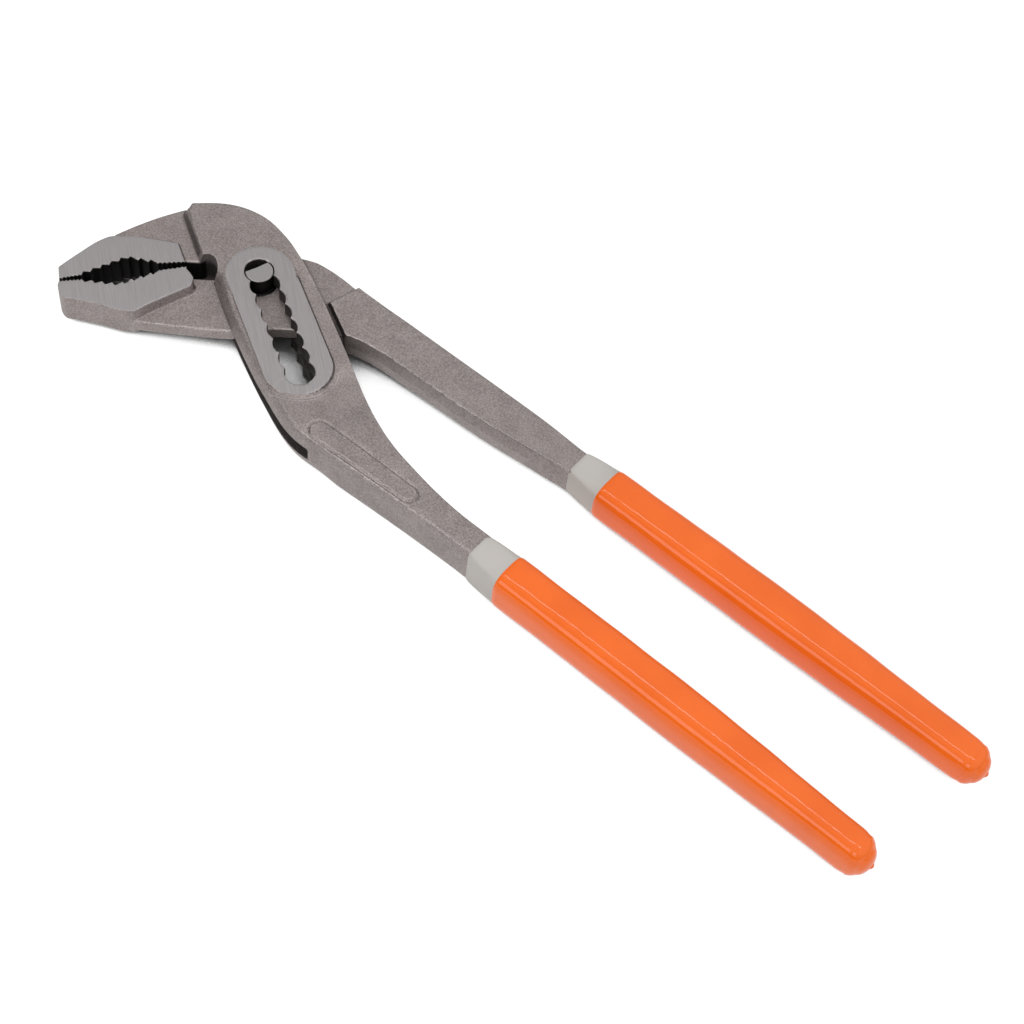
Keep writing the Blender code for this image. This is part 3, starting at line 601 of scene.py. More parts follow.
class InnerHalf:
    """The half with the lower jaw, the flat neck through the box and the upper handle."""

    # The handle's face: its slow rise, and the step up from the neck as a place, a direction and a stretch
    HANDLE_RISE_FROM = 30.0
    HANDLE_TAPER = 0.0042
    STEP_PLACE = (22.0, 5.0)
    STEP_FACING = (0.936, -0.352)
    STEP_CLIMB = (-1.1, 1.1)
    STEP_FOOT = 0.1
    # The handle's sides: the wall beside the box, the parting ridge, and the underside's extra inset
    WALL_INSET = 0.3
    WALL_GOES_ALONG = (35.5, 37.0)
    WALL_GOES_ACROSS = (19.5, 22.5)
    RIDGE = 0.5
    UNDER_INSET = 0.35
    COLLAR_COMES = (96.0, 111.0)
    # The lower jaw's pad, with a sloped side towards the neck
    SLOPE_INSET = 1.15
    SLOPE_FACING = (0.924, -0.383)
    SLOPE_COMES = (-9.6, -7.4)
    # The handle's middle line, which parts its near rim from its rounder far rim
    MIDDLE_PLACE = (40.0, 4.0)
    MIDDLE_SLOPE = 0.09
    FAR_SIDE_COMES = (-1.0, 3.0)
    FAR_RIM = 0.9
    FAR_RIM_COMES = (25.0, 40.0)
    # Rims and fillets
    NECK_RIM = 0.55
    PAD_RIM = 0.15
    PAD_FILLET = 0.15
    SLOPE_FILLET = 0.25
    HANDLE_RIM = 0.35
    HANDLE_FILLET = 0.3
    BORE_BEVEL = 0.3
    # How far the marks reach, and how dark their painted shade is
    PAD_FACE = 0.1
    TOOTH_BAND = 1.5
    TIP_REACH = -0.8
    THROAT_REACH = 2.0
    BORE_SKIN = 0.2
    WALL_SKIN = 0.3
    WALL_ACROSS = (10.0, 19.0)
    WALL_FROM = 20.5
    WALL_END = 35.9
    REAR_SKIN = 0.6
    REAR_FROM = 34.0
    REAR_GAPE = (-8.0, -1.0)
    WALL_DARK = 0.7
    # Heights that the marks stay below, or above
    TEETH_TOP = PAD_HIGH - 0.2
    BORE_TOP = NECK_HIGH - 0.3
    NECK_FACE = NECK_HIGH - 0.4
    WALL_BELOW = 0.2
    REAR_FOOT = NECK_HIGH + 0.3
    SHADOW_TOP = NECK_HIGH + 1.0
    # The box edge's shadow, painted on the neck: its place across the slot, its slope and its stretch; then
    # the bore's rim, painted as a highlight
    BOX_EDGE = 13.6
    BOX_EDGE_SLOPE = 0.0474
    SHADOW_OUT = 1.5
    SHADOW_WIDE = 0.55
    SHADOW_ALONG = (-6.0, 17.0)
    SHADOW_DARK = 0.5
    BORE_HIGHLIGHT_OUT = 0.25
    BORE_HIGHLIGHT_WIDE = 0.35

    def __init__(self):
        self.neck = PlanField(traced(NECK))
        self.pad = PlanField(traced(LOWER_PAD_BACK + teeth(LOWER_CREST, -1.0)))
        self.handle = PlanField(traced(UPPER_HANDLE))

    def top(self, x, y):
        """Height of the handle's face: a short step up from the neck, then a slow rise to the collar."""
        high = SHOULDER_HIGH + self.HANDLE_TAPER * np.maximum(x - self.HANDLE_RISE_FROM, 0.0)
        dx, dy = x - self.STEP_PLACE[0], y - self.STEP_PLACE[1]
        step = self.STEP_FACING[0] * dx + self.STEP_FACING[1] * dy
        climb = (high - NECK_HIGH + self.STEP_FOOT) * eased(*self.STEP_CLIMB, step)
        return NECK_HIGH - self.STEP_FOOT + climb

    def wall(self, x, y, z):
        """Plan distance to the handle's sides, which lean in beside the box and bulge at mid height."""
        high = np.abs(z)
        climb = np.clip((high - NECK_HIGH) / (SHOULDER_HIGH - NECK_HIGH), 0.0, 1.0)
        beside = 1.0 - eased(*self.WALL_GOES_ALONG, x - y)
        beside = beside * (1.0 - eased(*self.WALL_GOES_ACROSS, slot_axes(x, y)[1]))
        ridge = self.RIDGE * np.clip(1.0 - high / SHOULDER_HIGH, 0.0, 1.0)
        under = self.UNDER_INSET * np.clip(-z / SHOULDER_HIGH, 0.0, 1.0)
        bare = (1.0 - beside) * (1.0 - eased(*self.COLLAR_COMES, x))
        return self.handle(x, y) + self.WALL_INSET * climb * beside + (under - ridge) * bare

    def __call__(self, x, y, z):
        """Neck, pad and handle joined with fillets, less the pin's bore."""
        high = np.abs(z)
        neck = slab(self.neck(x, y), high - NECK_HIGH, self.NECK_RIM)
        sloped = eased(*self.SLOPE_COMES, self.SLOPE_FACING[0] * x + self.SLOPE_FACING[1] * y)
        climb = np.clip((high - NECK_HIGH) / (PAD_HIGH - NECK_HIGH), 0.0, 1.0)
        pad = slab(self.pad(x, y) + self.SLOPE_INSET * sloped * climb, high - PAD_HIGH, self.PAD_RIM)
        solid = soft_union(neck, pad, self.PAD_FILLET + self.SLOPE_FILLET * sloped)
        beyond = y + self.MIDDLE_SLOPE * (x - self.MIDDLE_PLACE[0]) - self.MIDDLE_PLACE[1]
        outer = eased(*self.FAR_SIDE_COMES, beyond)
        rim = self.HANDLE_RIM + self.FAR_RIM * outer * eased(*self.FAR_RIM_COMES, x)
        handle = slab(self.wall(x, y, z), high - self.top(x, y), rim)
        solid = soft_union(solid, handle, self.HANDLE_FILLET)
        bore = np.hypot(x, y) - BORE_RADIUS - np.clip(high - NECK_HIGH + self.BORE_BEVEL, 0.0, 1.0)
        return np.maximum(solid, -bore)

    def marks(self, x, y, z):
        """Where the steel is ground bright; painted shade between the teeth, in the bore and on the
        shoulder's and the pad's rear walls; the box edge's painted shadow on the neck; and the bore's rim
        as a painted highlight.
        """
        high = np.abs(z)
        along, across = slot_axes(x, y)
        bite, gape = bite_axes(x, y)
        pad, radius = self.pad(x, y), np.hypot(x, y)
        pad_face = np.minimum(-pad, high - PAD_HIGH + self.PAD_FACE)

        root = np.interp(bite, *np.array(LOWER_CREST).T) - self.TOOTH_BAND
        toothed = (gape > root) & (bite > self.TIP_REACH) & (high < self.TEETH_TOP)
        toothed = toothed & (bite < BITE_LENGTH + self.THROAT_REACH)
        bore = (radius < BORE_RADIUS + self.BORE_SKIN) & (high < self.BORE_TOP)
        near, far = self.WALL_ACROSS
        shoulder = (self.wall(x, y, z) > -self.WALL_SKIN) & (across > near) & (across < far)
        shoulder = shoulder & (x - y < self.WALL_END) & (x > self.WALL_FROM)
        shoulder = shoulder & (high > self.NECK_FACE) & (high < self.top(x, y) - self.WALL_BELOW)
        low, top = self.REAR_GAPE
        rear = (np.abs(pad) < self.REAR_SKIN) & (bite > self.REAR_FROM) & (gape < top) & (gape > low)
        rear = rear & (high > self.REAR_FOOT) & (high < self.TEETH_TOP)
        # Painted shade between the teeth, in the bore and on the shoulder's and the pad's rear walls
        dark = np.where(toothed | bore, 1.0, np.where(shoulder | rear, self.WALL_DARK, 0.0))

        # The box edge's shadow, painted on the neck beside it
        start, end = self.SHADOW_ALONG
        out = across - self.BOX_EDGE - self.BOX_EDGE_SLOPE * along
        edge_shadow = self.SHADOW_DARK * bell(out, self.SHADOW_OUT, self.SHADOW_WIDE) * (along > start) * (along < end)
        edge_shadow = edge_shadow * (high > self.NECK_FACE) * (high < self.SHADOW_TOP)
        # The bore's rim, painted as a highlight
        lip = bell(radius, BORE_RADIUS + self.BORE_HIGHLIGHT_OUT, self.BORE_HIGHLIGHT_WIDE) * (high > self.NECK_FACE)
        nowhere = np.full_like(x, FAR)
        return {
            "ground": pad_face, "recess_shade": np.maximum(dark, edge_shadow),
            "shadow_line": nowhere, "turned": nowhere, "lip": lip,
        }


def rows(*stretches):
    """Grid lines: each stretch is a start, an end and about how far apart its lines lie."""
    parts = [np.linspace(a, b, max(2, round((b - a) / step) + 1))[:-1] for a, b, step in stretches]
    return np.concatenate(parts + [[stretches[-1][1]]])


def contoured(distance, lines):
    """The surface where a distance is zero, as four-sided faces, by dual contouring.

    Each grid edge whose ends lie on either side of the surface gives a crossing point and the normal there.
    A cell's vertex is the point that lies nearest to the planes of all its crossings, so a sharp edge stays
    sharp, and each crossed edge makes a face of the four cells round it."""
    grid = np.meshgrid(*lines, indexing="ij", sparse=True)
    value = distance(*grid)
    shape = np.array(value.shape)
    axes = np.eye(3, dtype=int)
    points, around = [], []
    for axis in range(3):
        low = np.take(value, range(shape[axis] - 1), axis=axis)
        high = np.take(value, range(1, shape[axis]), axis=axis)
        corner = np.argwhere((low < 0.0) != (high < 0.0))
        a, b = low[tuple(corner.T)], high[tuple(corner.T)]
        start = np.stack([lines[k][corner[:, k]] for k in range(3)], 1)
        reach = np.zeros_like(start)
        reach[:, axis] = lines[axis][corner[:, axis] + 1] - start[:, axis]
        near, far = np.zeros(len(a)), np.ones(len(a))
        for _ in range(CROSSING_TRIES):
            t = np.clip(near - a * (far - near) / (b - a), near, far)
            here = distance(*(start + t[:, None] * reach).T)
            same = (here < 0.0) == (a < 0.0)
            near, a = np.where(same, t, near), np.where(same, here, a)
            far, b = np.where(same, far, t), np.where(same, b, here)
        t = near - a * (far - near) / np.where(b == a, 1.0, b - a)
        points.append(start + t[:, None] * reach)
        j, k = axes[(axis + 1) % 3], axes[(axis + 2) % 3]
        ring = np.stack([corner - j - k, corner - k, corner, corner - j], 1)
        inside_first = value[tuple(corner.T)] < 0.0
        around.append(np.where(inside_first[:, None, None], ring, ring[:, ::-1]))
    points, around = np.concatenate(points), np.concatenate(around)

    directions = np.array([(1, -1, -1), (-1, -1, 1), (-1, 1, -1), (1, 1, 1)], float)
    normal = sum(d * distance(*(points + NORMAL_PROBE * d).T)[:, None] for d in directions)
    normal /= np.maximum(np.linalg.norm(normal, axis=1, keepdims=True), 1e-9)

    code = np.ravel_multi_index(tuple(np.moveaxis(around, 2, 0)), tuple(shape))
    cells, faces = np.unique(code, return_inverse=True)
    faces = faces.reshape(-1, 4)
    owner = faces.ravel()
    total = np.bincount(owner)

    def gathered(per_edge):
        """The sum of a value of the crossed edges, for each cell."""
        return np.bincount(owner, np.repeat(per_edge, 4))

    centre = np.stack([gathered(points[:, k]) for k in range(3)], 1) / total[:, None]
    square = np.empty((len(cells), 3, 3))
    for i in range(3):
        for j in range(i, 3):
            square[:, i, j] = square[:, j, i] = gathered(normal[:, i] * normal[:, j])
    level = np.einsum("ij,ij->i", normal, points)
    pull = np.stack([gathered(normal[:, k] * level) for k in range(3)], 1)
    pull -= np.einsum("nij,nj->ni", square, centre)
    shift = np.linalg.solve(square + MEAN_PULL * np.eye(3), pull[..., None])[..., 0]
    place = np.stack(np.unravel_index(cells, tuple(shape)), 1)
    lowest = np.stack([lines[k][place[:, k]] for k in range(3)], 1)
    highest = np.stack([lines[k][place[:, k] + 1] for k in range(3)], 1)
    return np.clip(centre + shift, lowest, highest), faces


def placed(name, vertices, faces, finish, body, node, slot, sharp=None, marks=None):
    """Makes a mesh of points in millimetres and faces, which rides on a body in its node's place."""
    mesh = bpy.data.meshes.new(name)
    sides = faces.shape[1]
    mesh.vertices.add(len(vertices))
    mesh.vertices.foreach_set("co", (vertices * MM + PIVOT).astype(np.float32).ravel())
    mesh.loops.add(faces.size)
    mesh.loops.foreach_set("vertex_index", faces.astype(np.int32).ravel())
    mesh.polygons.add(len(faces))
    mesh.polygons.foreach_set("loop_start", np.arange(0, faces.size, sides, dtype=np.int32))
    mesh.update(calc_edges=True)
    mesh.validate()
    mesh.shade_smooth()
    if sharp is not None:
        mesh.set_sharp_from_angle(angle=sharp)
    for mark, values in (marks or {}).items():
        mesh.attributes.new(mark, "FLOAT", "POINT").data.foreach_set("value", values.astype(np.float32))
    mesh.materials.append(finish)
    piece = bpy.data.objects.new(name, mesh)
    bpy.context.scene.collection.objects.link(piece)
    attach(piece, body)
    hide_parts(node)


def proud_edges(vertices, faces):
    """How far each vertex stands proud of its neighbours: a mean share of the distances to them."""
    a, b = faces, np.roll(faces, -1, axis=1)
    first = vertices[faces[:, 2]] - vertices[faces[:, 0]]
    second = vertices[faces[:, 3]] - vertices[faces[:, 1]]
    facing = np.cross(first, second)
    normal = np.stack([np.bincount(faces.ravel(), np.repeat(facing[:, k], 4)) for k in range(3)], 1)
    normal /= np.maximum(np.linalg.norm(normal, axis=1, keepdims=True), 1e-12)
    step = (vertices[b] - vertices[a]).reshape(-1, 3)
    a, b = a.ravel(), b.ravel()
    length = np.maximum(np.linalg.norm(step, axis=1), 1e-6)
    out = -np.einsum("ij,ij->i", normal[a], step) / length
    back = np.einsum("ij,ij->i", normal[b], step) / length
    count = np.bincount(np.concatenate([a, b]))
    return np.bincount(np.concatenate([a, b]), np.concatenate([out, back])) / np.maximum(count, 1)


def forging(name, half, grid, finish, body, node):
    """One steel half: its contoured surface, with its ground places, its painted shade and shadow lines,
    and its proud edges' wear and painted highlight as vertex values.
    """
    vertices, faces = contoured(half, [rows(*stretches) for stretches in grid])
    marks = half.marks(*vertices.T)
    wear_and_highlight = np.clip(proud_edges(vertices, faces) * EDGE_WEAR_AND_HIGHLIGHT, 0.0, 1.0)
    # The bore's painted highlight joins the proud edges' wear and painted highlight
    marks["wear_and_highlight"] = np.maximum(wear_and_highlight, marks.pop("lip"))
    placed(name, vertices, faces, finish, body, node, "forged_steel", FORGED_SHARP, marks)


def lofted(centre, half_width, half_high, power, sides=128):
    """Rings of |u/a|^p + |v/c|^p = 1 round a path, closed by a point at each end."""
    angle = 2.0 * np.pi * np.arange(sides) / sides
    u = np.sign(np.cos(angle)) * np.abs(np.cos(angle)) ** (2.0 / power[:, None])
    v = np.sign(np.sin(angle)) * np.abs(np.sin(angle)) ** (2.0 / power[:, None])
    run = np.gradient(centre[:, :2], axis=0)
    run /= np.linalg.norm(run, axis=1, keepdims=True)
    aside = np.stack([-run[:, 1], run[:, 0]], 1)
    plan = centre[:, None, :2] + (u * half_width[:, None])[..., None] * aside[:, None]
    rise = centre[:, None, 2] + v * half_high[:, None]
    rings = np.concatenate([plan, rise[..., None]], 2)
    return ringed(rings, centre[0], centre[-1])


def ringed(rings, first, last):
    """Triangles between rings, two for each side, and a fan of them to both end points."""
    count, sides = rings.shape[:2]
    index = np.arange(count * sides).reshape(count, sides)
    after = np.roll(index, -1, axis=1)
    walls = np.stack([index[:-1], index[1:], after[1:], after[:-1]], 2).reshape(-1, 4)
    vertices = np.concatenate([rings.reshape(-1, 3), [first, last]])
    start = np.stack([np.full(sides, count * sides), index[0], after[0]], 1)
    end = np.stack([np.full(sides, count * sides + 1), after[-1], index[-1]], 1)
    triangles = np.concatenate([walls[:, [0, 1, 2]], walls[:, [0, 2, 3]], start, end])
    return vertices, triangles


class Dip:
    """A handle's dip coats: the bent middle line, and the half sizes of the steel and of the outer coat."""

    COLLAR = 10.6
    # The undercoat: its skin at the edge and what it gains, its flare, and its tuck under the outer coat
    EDGE_SKIN = 0.02
    SKIN_GAIN = 0.33
    FLARE_FROM = 0.6
    UNDER_LIP = 0.25
    TUCK = 4.0
    # The outer coat: its rolled lip, the stretches where it swells and fades, and its slow waves
    ROLL = 1.1
    ROLL_DEPTH = 0.42
    SWELL_COMES = (0.0, 36.0)
    FADE_FROM = 55.0
    WAVE_HIGH = 0.05
    WAVE_TURNS = (0.31, 0.083)
    # Its blunt end, with the ring and the nub that the drip leaves
    END_ROUND = 7.0
    END_POWER = 2.3
    RING_PLACE = 1.9
    RING_WIDE = 0.55
    RING_DEPTH = 0.05
    NUB_BASE = 4.0
    NUB_RADIUS = 3.0
    NUB_LENGTH = 0.5
    NUB_BLEND = 2.0
    # Powers of the sections' curves, which are squarer where the power is higher
    STEEL_POWER = 8.0
    FLARE_LOSS = 4.0
    FLARE_LOSS_FROM = 0.5
    LIP_POWER = 3.8
    PALM_LOSS = 0.4
    PALM_COMES = (0.0, 30.0)
    END_LOSS = 1.4

    def __init__(self, start, slope, bend, end, steel, lip, swell, tip):
        self.start, self.slope, self.bend, self.end = start, slope, bend, end
        self.steel, self.lip, self.swell, self.tip = map(np.array, (steel, lip, swell, tip))

    def path(self, x):
        """The middle line: a parabola in plan from the collar's start, level with the parting plane."""
        run = x - self.start[0]
        y = self.start[1] + self.slope * run + self.bend * run * run
        return np.stack([x, y, np.zeros_like(x)], 1)

    def undercoat(self):
        """A thin skin that leaves the bare steel with a soft edge and flares towards the outer coat."""
        run = np.concatenate([np.linspace(0.0, 1.0, 9) ** 2, np.linspace(1.3, self.COLLAR + self.TUCK, 40)])
        skin = self.EDGE_SKIN + self.SKIN_GAIN * np.sqrt(np.clip(run, 0.0, 1.0))[:, None]
        flare = np.clip((run - self.FLARE_FROM) / (self.COLLAR - self.FLARE_FROM), 0.0, 1.0)[:, None]
        half = (self.steel + skin) * (1.0 - flare) + (self.lip - self.UNDER_LIP) * flare
        power = self.STEEL_POWER - self.FLARE_LOSS * eased(self.FLARE_LOSS_FROM, self.COLLAR, run)
        return lofted(self.path(self.start[0] + run), half[:, 0], half[:, 1], power)

    def overcoat(self):
        """A lip that rolls off the undercoat, a palm swell, and a blunt end with the drip's nub."""
        lip = self.start[0] + self.COLLAR
        long = self.end - lip
        roll = self.ROLL * np.sin(np.linspace(0.0, 0.5 * np.pi, 10)[:-1]) ** 2
        trunk = np.linspace(self.ROLL, long - self.END_ROUND, 150)[:-1]
        end = np.linspace(0.0, 0.5 * np.pi, 42)[:-1]
        end = long - self.END_ROUND + (self.END_ROUND + self.NUB_LENGTH) * np.sin(end)
        run = np.concatenate([roll, trunk, end])
        grow = eased(*self.SWELL_COMES, run)[:, None]
        fade = eased(self.FADE_FROM, long, run)[:, None]
        half = self.lip + (self.swell - self.lip) * grow + (self.tip - self.swell) * fade
        half = half - self.ROLL_DEPTH * (1.0 - np.sqrt(np.clip(run / self.ROLL, 0.0, 1.0)))[:, None]
        wave = self.WAVE_HIGH * np.sin(run * self.WAVE_TURNS[0]) * np.sin(run * self.WAVE_TURNS[1] + 1.0)
        closing = np.clip((run - long + self.END_ROUND) / self.END_ROUND, 0.0, 1.0)
        ring = 1.0 - self.RING_DEPTH * bell(run, long - self.RING_PLACE, self.RING_WIDE)
        shrink = (1.0 - closing ** self.END_POWER) ** (1.0 / self.END_POWER) * ring
        base = long - self.NUB_BASE
        nub = np.clip((run - long + self.NUB_BASE) / (self.NUB_BASE + self.NUB_LENGTH), 0.0, 1.0)
        nub = self.NUB_RADIUS * np.sqrt(1.0 - nub) * eased(base - self.NUB_BLEND, base, run)
        half = ((half + wave[:, None]) * shrink[:, None]) ** 3 + nub[:, None] ** 3
        power = self.LIP_POWER - self.PALM_LOSS * eased(*self.PALM_COMES, run) - self.END_LOSS * closing
        centre = self.path(lip + run)
        vertices, faces = lofted(centre, np.cbrt(half[:, 0]), np.cbrt(half[:, 1]), power)
        vertices[-1] = self.path(np.array([self.end + self.NUB_LENGTH]))[0]
        return vertices, faces


LOWER_DIP = Dip(
    start=(106.6, -42.0), slope=-0.1213, bend=-0.00011, end=240.9,
    steel=(4.25, 6.75), lip=(6.5, 7.2), swell=(6.65, 7.2), tip=(5.2, 6.7),
)
UPPER_DIP = Dip(
    start=(113.7, -0.8), slope=-0.1174, bend=-0.000089, end=254.2,
    steel=(4.3, 4.95), lip=(6.6, 6.3), swell=(6.95, 6.3), tip=(5.6, 5.7),
)


def d_pin():
    """A pin about the pivot's axis, with ends cut to a D: the lesser of a circle and a straight chord."""
    angle = np.linspace(-np.pi, np.pi, PIN_SIDES + 1)[:-1]
    turn = math.acos(PIN_FLAT / PIN_RADIUS)
    exact = (PIN_FLAT_ANGLE + np.array([-turn, turn]) + np.pi) % (2.0 * np.pi) - np.pi
    angle = np.sort(np.concatenate([angle, exact]))
    facing = np.maximum(np.cos(angle - PIN_FLAT_ANGLE), 1e-3)
    end = np.minimum(PIN_RADIUS, PIN_FLAT / facing)
    flange = np.full_like(end, PIN_FLANGE_RADIUS)
    levels = [
        (PIN_HIGH, end - PIN_BEVEL), (PIN_HIGH - PIN_BEVEL, end), (PIN_FLANGE_HIGH, end),
        (PIN_FLANGE_HIGH, flange - PIN_BEVEL), (PIN_FLANGE_HIGH - PIN_BEVEL, flange),
    ]
    levels = [(-z, r) for z, r in levels] + levels[::-1]
    high = np.array([z for z, _ in levels])
    radius = np.array([r for _, r in levels])
    ring = np.stack([np.cos(angle), np.sin(angle)], 1)
    plan = radius[..., None] * ring
    rings = np.concatenate([plan, np.broadcast_to(high[:, None, None], radius.shape + (1,))], 2)
    vertices, faces = ringed(rings, (0.0, 0.0, -PIN_HIGH), (0.0, 0.0, PIN_HIGH))
    return vertices, faces[:, ::-1]


class Value:
    """A shader number: arithmetic on it adds Math nodes to its tree."""

    def __init__(self, nodes, socket):
        self.nodes, self.socket = nodes, socket

    def math(self, operation, first, second):
        """A Math node on two numbers."""
        return self.nodes.node("ShaderNodeMath", {"operation": operation}, {0: first, 1: second})

    def __add__(self, other):
        return self.math("ADD", self, other)

    def __sub__(self, other):
        return self.math("SUBTRACT", self, other)

    def __mul__(self, other):
        return self.math("MULTIPLY", self, other)

    def __radd__(self, other):
        return self.math("ADD", other, self)

    def __rsub__(self, other):
        return self.math("SUBTRACT", other, self)

    def __rmul__(self, other):
        return self.math("MULTIPLY", other, self)

    def between(self, low, high):
        """0 at low and 1 at high, eased."""
        sockets = {"Value": self, "From Min": low, "From Max": high}
        return self.nodes.node("ShaderNodeMapRange", {"interpolation_type": "SMOOTHSTEP"}, sockets)


class Nodes:
    """A tree of shader nodes."""

    def __init__(self, tree):
        self.tree = tree

    def node(self, kind, settings=None, sockets=None, out=0):
        """Adds a node with its settings, then its sockets' values or links, and returns one output."""
        made = self.tree.nodes.new(kind)
        for key, setting in (settings or {}).items():
            setattr(made, key, setting)
        for key, value in (sockets or {}).items():
            self.feed(made.inputs[key], value)
        return Value(self, made.outputs[out])

    def feed(self, socket, value):
        """Links a shader number to a socket, or sets the socket to a plain value."""
        if isinstance(value, Value):
            self.tree.links.new(value.socket, socket)
        else:
            socket.default_value = value


class Finish(Nodes):
    """A material on a Principled shader, with Object coordinates in metres."""

    def __init__(self, name):
        self.material = bpy.data.materials.new(name)
        self.material.use_nodes = True
        super().__init__(self.material.node_tree)
        self.shader = self.tree.nodes["Principled BSDF"]
        self.place = self.node("ShaderNodeTexCoord", out="Object")

    def noise(self, scale, detail, roughness=0.55, place=None):
        """Noise at a scale, on Object coordinates or on others."""
        sockets = {"Vector": place or self.place, "Scale": scale, "Detail": detail, "Roughness": roughness}
        return self.node("ShaderNodeTexNoise", None, sockets)

    def mark(self, name):
        """The value that the mesh's vertices carry under a name."""
        return self.node("ShaderNodeAttribute", {"attribute_name": name}, out="Fac")

    def stretched(self, turn, scale):
        """Object coordinates turned about the vertical and scaled by axis, for lines that run one way."""
        sockets = {"Vector": self.place, "Rotation": (0.0, 0.0, turn), "Scale": scale}
        return self.node("ShaderNodeMapping", {"vector_type": "TEXTURE"}, sockets)

    def mixed(self, share, first, second):
        """A share of the second colour in the first."""
        sockets = {0: share, 6: first, 7: second}
        return self.node("ShaderNodeMix", {"data_type": "RGBA"}, sockets, out=2)

    def bumped(self, height, distance):
        """The normal of a surface raised by a height times a distance."""
        return self.node("ShaderNodeBump", None, {"Height": height, "Distance": distance}, out="Normal")

    def set(self, **values):
        """Feeds the shader's sockets, with a low line for each space in a socket's name."""
        for name, value in values.items():
            self.feed(self.shader.inputs[name.replace("_", " ")], value)


def forged_steel():
    """Shot-blasted forging: pitted warm grey, brushed bright where ground, with painted shade inside the
    joint, painted shadow lines at the foot of steps, and proud edges lighter for their wear and a painted
    highlight.
    """
    steel = Finish("forged_steel")
    ground = steel.mark("ground").between(*GROUND_EDGE)
    recess_shade, wear_and_highlight, shadow_line, turned = map(steel.mark, ("recess_shade", "wear_and_highlight", "shadow_line", "turned"))
    pits = steel.noise(PIT_SCALE, 4.0, 0.7)
    patches = steel.noise(PATCH_SCALE, 3.0, 0.6)
    lines = steel.noise(1.0, 2.0, 0.6, steel.stretched(BITE_ANGLE, BRUSH_SIZE))
    tone = pits.between(*NOISE_SPAN) * PIT_SHARE + patches.between(*NOISE_SPAN) * PATCH_SHARE
    forged = steel.mixed(tone, *FORGED)
    brushed = steel.mixed(lines.between(*BRUSH_SPAN), *BRUSHED)
    wave = steel.node("ShaderNodeMath", {"operation": "SINE"}, {0: turned * ARC_TURN})
    arcs = wave.between(*ARC_CREST) * turned.between(*ARC_COMES) * (1.0 - turned.between(*ARC_GOES))
    colour = steel.mixed(ground, forged, brushed)
    colour = steel.mixed(arcs * patches.between(*ARC_PATCHES) * ARC_SHARE, colour, TURNED)
    # Proud edges lighter: partly their wear, partly a painted highlight
    glint = wear_and_highlight * (1.0 - ground) * pits.between(*WEAR_HIGHLIGHT_PITS) * WEAR_HIGHLIGHT_SHARE
    colour = steel.mixed(glint, colour, WEAR_AND_HIGHLIGHT)
    # Painted shadow lines at the foot of steps
    line = shadow_line.between(*SHADOW_LINE_COMES) * (1.0 - shadow_line.between(*SHADOW_LINE_GOES)) * (1.0 - ground) * SHADOW_LINE_SHARE
    colour = steel.mixed(line, colour, SHADOW_LINE)
    # Painted shade in the joint's hollows, between the teeth and on the walls beside them, with the box
    # edge's painted shadow
    colour = steel.mixed(recess_shade, colour, RECESS_SHADE)
    coarse = FORGED_ROUGH + pits * 0.12 - wear_and_highlight * 0.14
    fine = BRUSHED_ROUGH + lines * 0.12
    height = pits * (1.0 - ground) + lines * ground * 0.2 + arcs * 0.6
    steel.set(Base_Color=colour, Roughness=coarse * (1.0 - ground) + fine * ground)
    steel.set(Metallic=FORGED_METAL, Normal=steel.bumped(height, FORGED_BUMP))
    return steel.material


def pin_steel():
    """Dark oiled steel, with ground end faces."""
    steel = Finish("pin_steel")
    level = steel.node("ShaderNodeSeparateXYZ", None, {"Vector": steel.place}, out="Z")
    low = float(PIVOT[2]) - (PIN_HIGH - PIN_FACE_LOW) * MM
    high = float(PIVOT[2]) + (PIN_HIGH - PIN_FACE_LOW) * MM
    face = level.between(high - PIN_FACE_EDGE, high) + (1.0 - level.between(low, low + PIN_FACE_EDGE))
    grain = steel.noise(PIN_GRAIN, 3.0, 0.6)
    ground = steel.mixed(grain, *PIN_GROUND)
    oiled = steel.mixed(grain, *PIN_OILED)
    steel.set(Base_Color=steel.mixed(face, oiled, ground), Roughness=PIN_ROUGH + grain * 0.12)
    steel.set(Metallic=PIN_METAL, Normal=steel.bumped(grain, PIN_BUMP))
    return steel.material


def dip_coat(name, dull, bright, roughness, specular):
    """A dipped plastic coat: an even colour with slow drifts, fine dust-like grain and slow ripples."""
    plastic = Finish(name)
    drift = plastic.noise(DIP_DRIFT, 2.0)
    grain = plastic.noise(DIP_GRAIN, 2.0)
    colour = plastic.mixed(drift.between(*NOISE_SPAN) * 0.7 + grain * 0.3, dull, bright)
    ripple = plastic.noise(DIP_RIPPLE, 2.0)
    plastic.set(Base_Color=colour, Roughness=roughness + grain * 0.06, Specular_IOR_Level=specular)
    plastic.set(Normal=plastic.bumped(ripple + grain * 0.06, DIP_BUMP))
    return plastic.material


def build():
    """The two forgings, the pin and the dip coats, each on its body."""
    steel = forged_steel()
    grey = dip_coat("grey_dip", *GREY_DIP, roughness=0.45, specular=0.3)
    orange = dip_coat("orange_dip", *ORANGE_DIP, roughness=0.06, specular=0.34)
    forging("box_half_forging", BoxHalf(), BOX_GRID, steel, "box_half", "box_half")
    forging("inner_half_forging", InnerHalf(), INNER_GRID, steel, "inner_half", "inner_half")
    placed("d_pin", *d_pin(), pin_steel(), "pin", "pivot_pin", "pin_steel", PIN_SHARP)
    for side, dip, body in (("lower", LOWER_DIP, "box_half"), ("upper", UPPER_DIP, "inner_half")):
        placed(side + "_undercoat", *dip.undercoat(), grey, body, side + "_grip_base", "grey_dip")
        placed(side + "_overcoat", *dip.overcoat(), orange, body, side + "_grip_sleeve", "orange_dip")


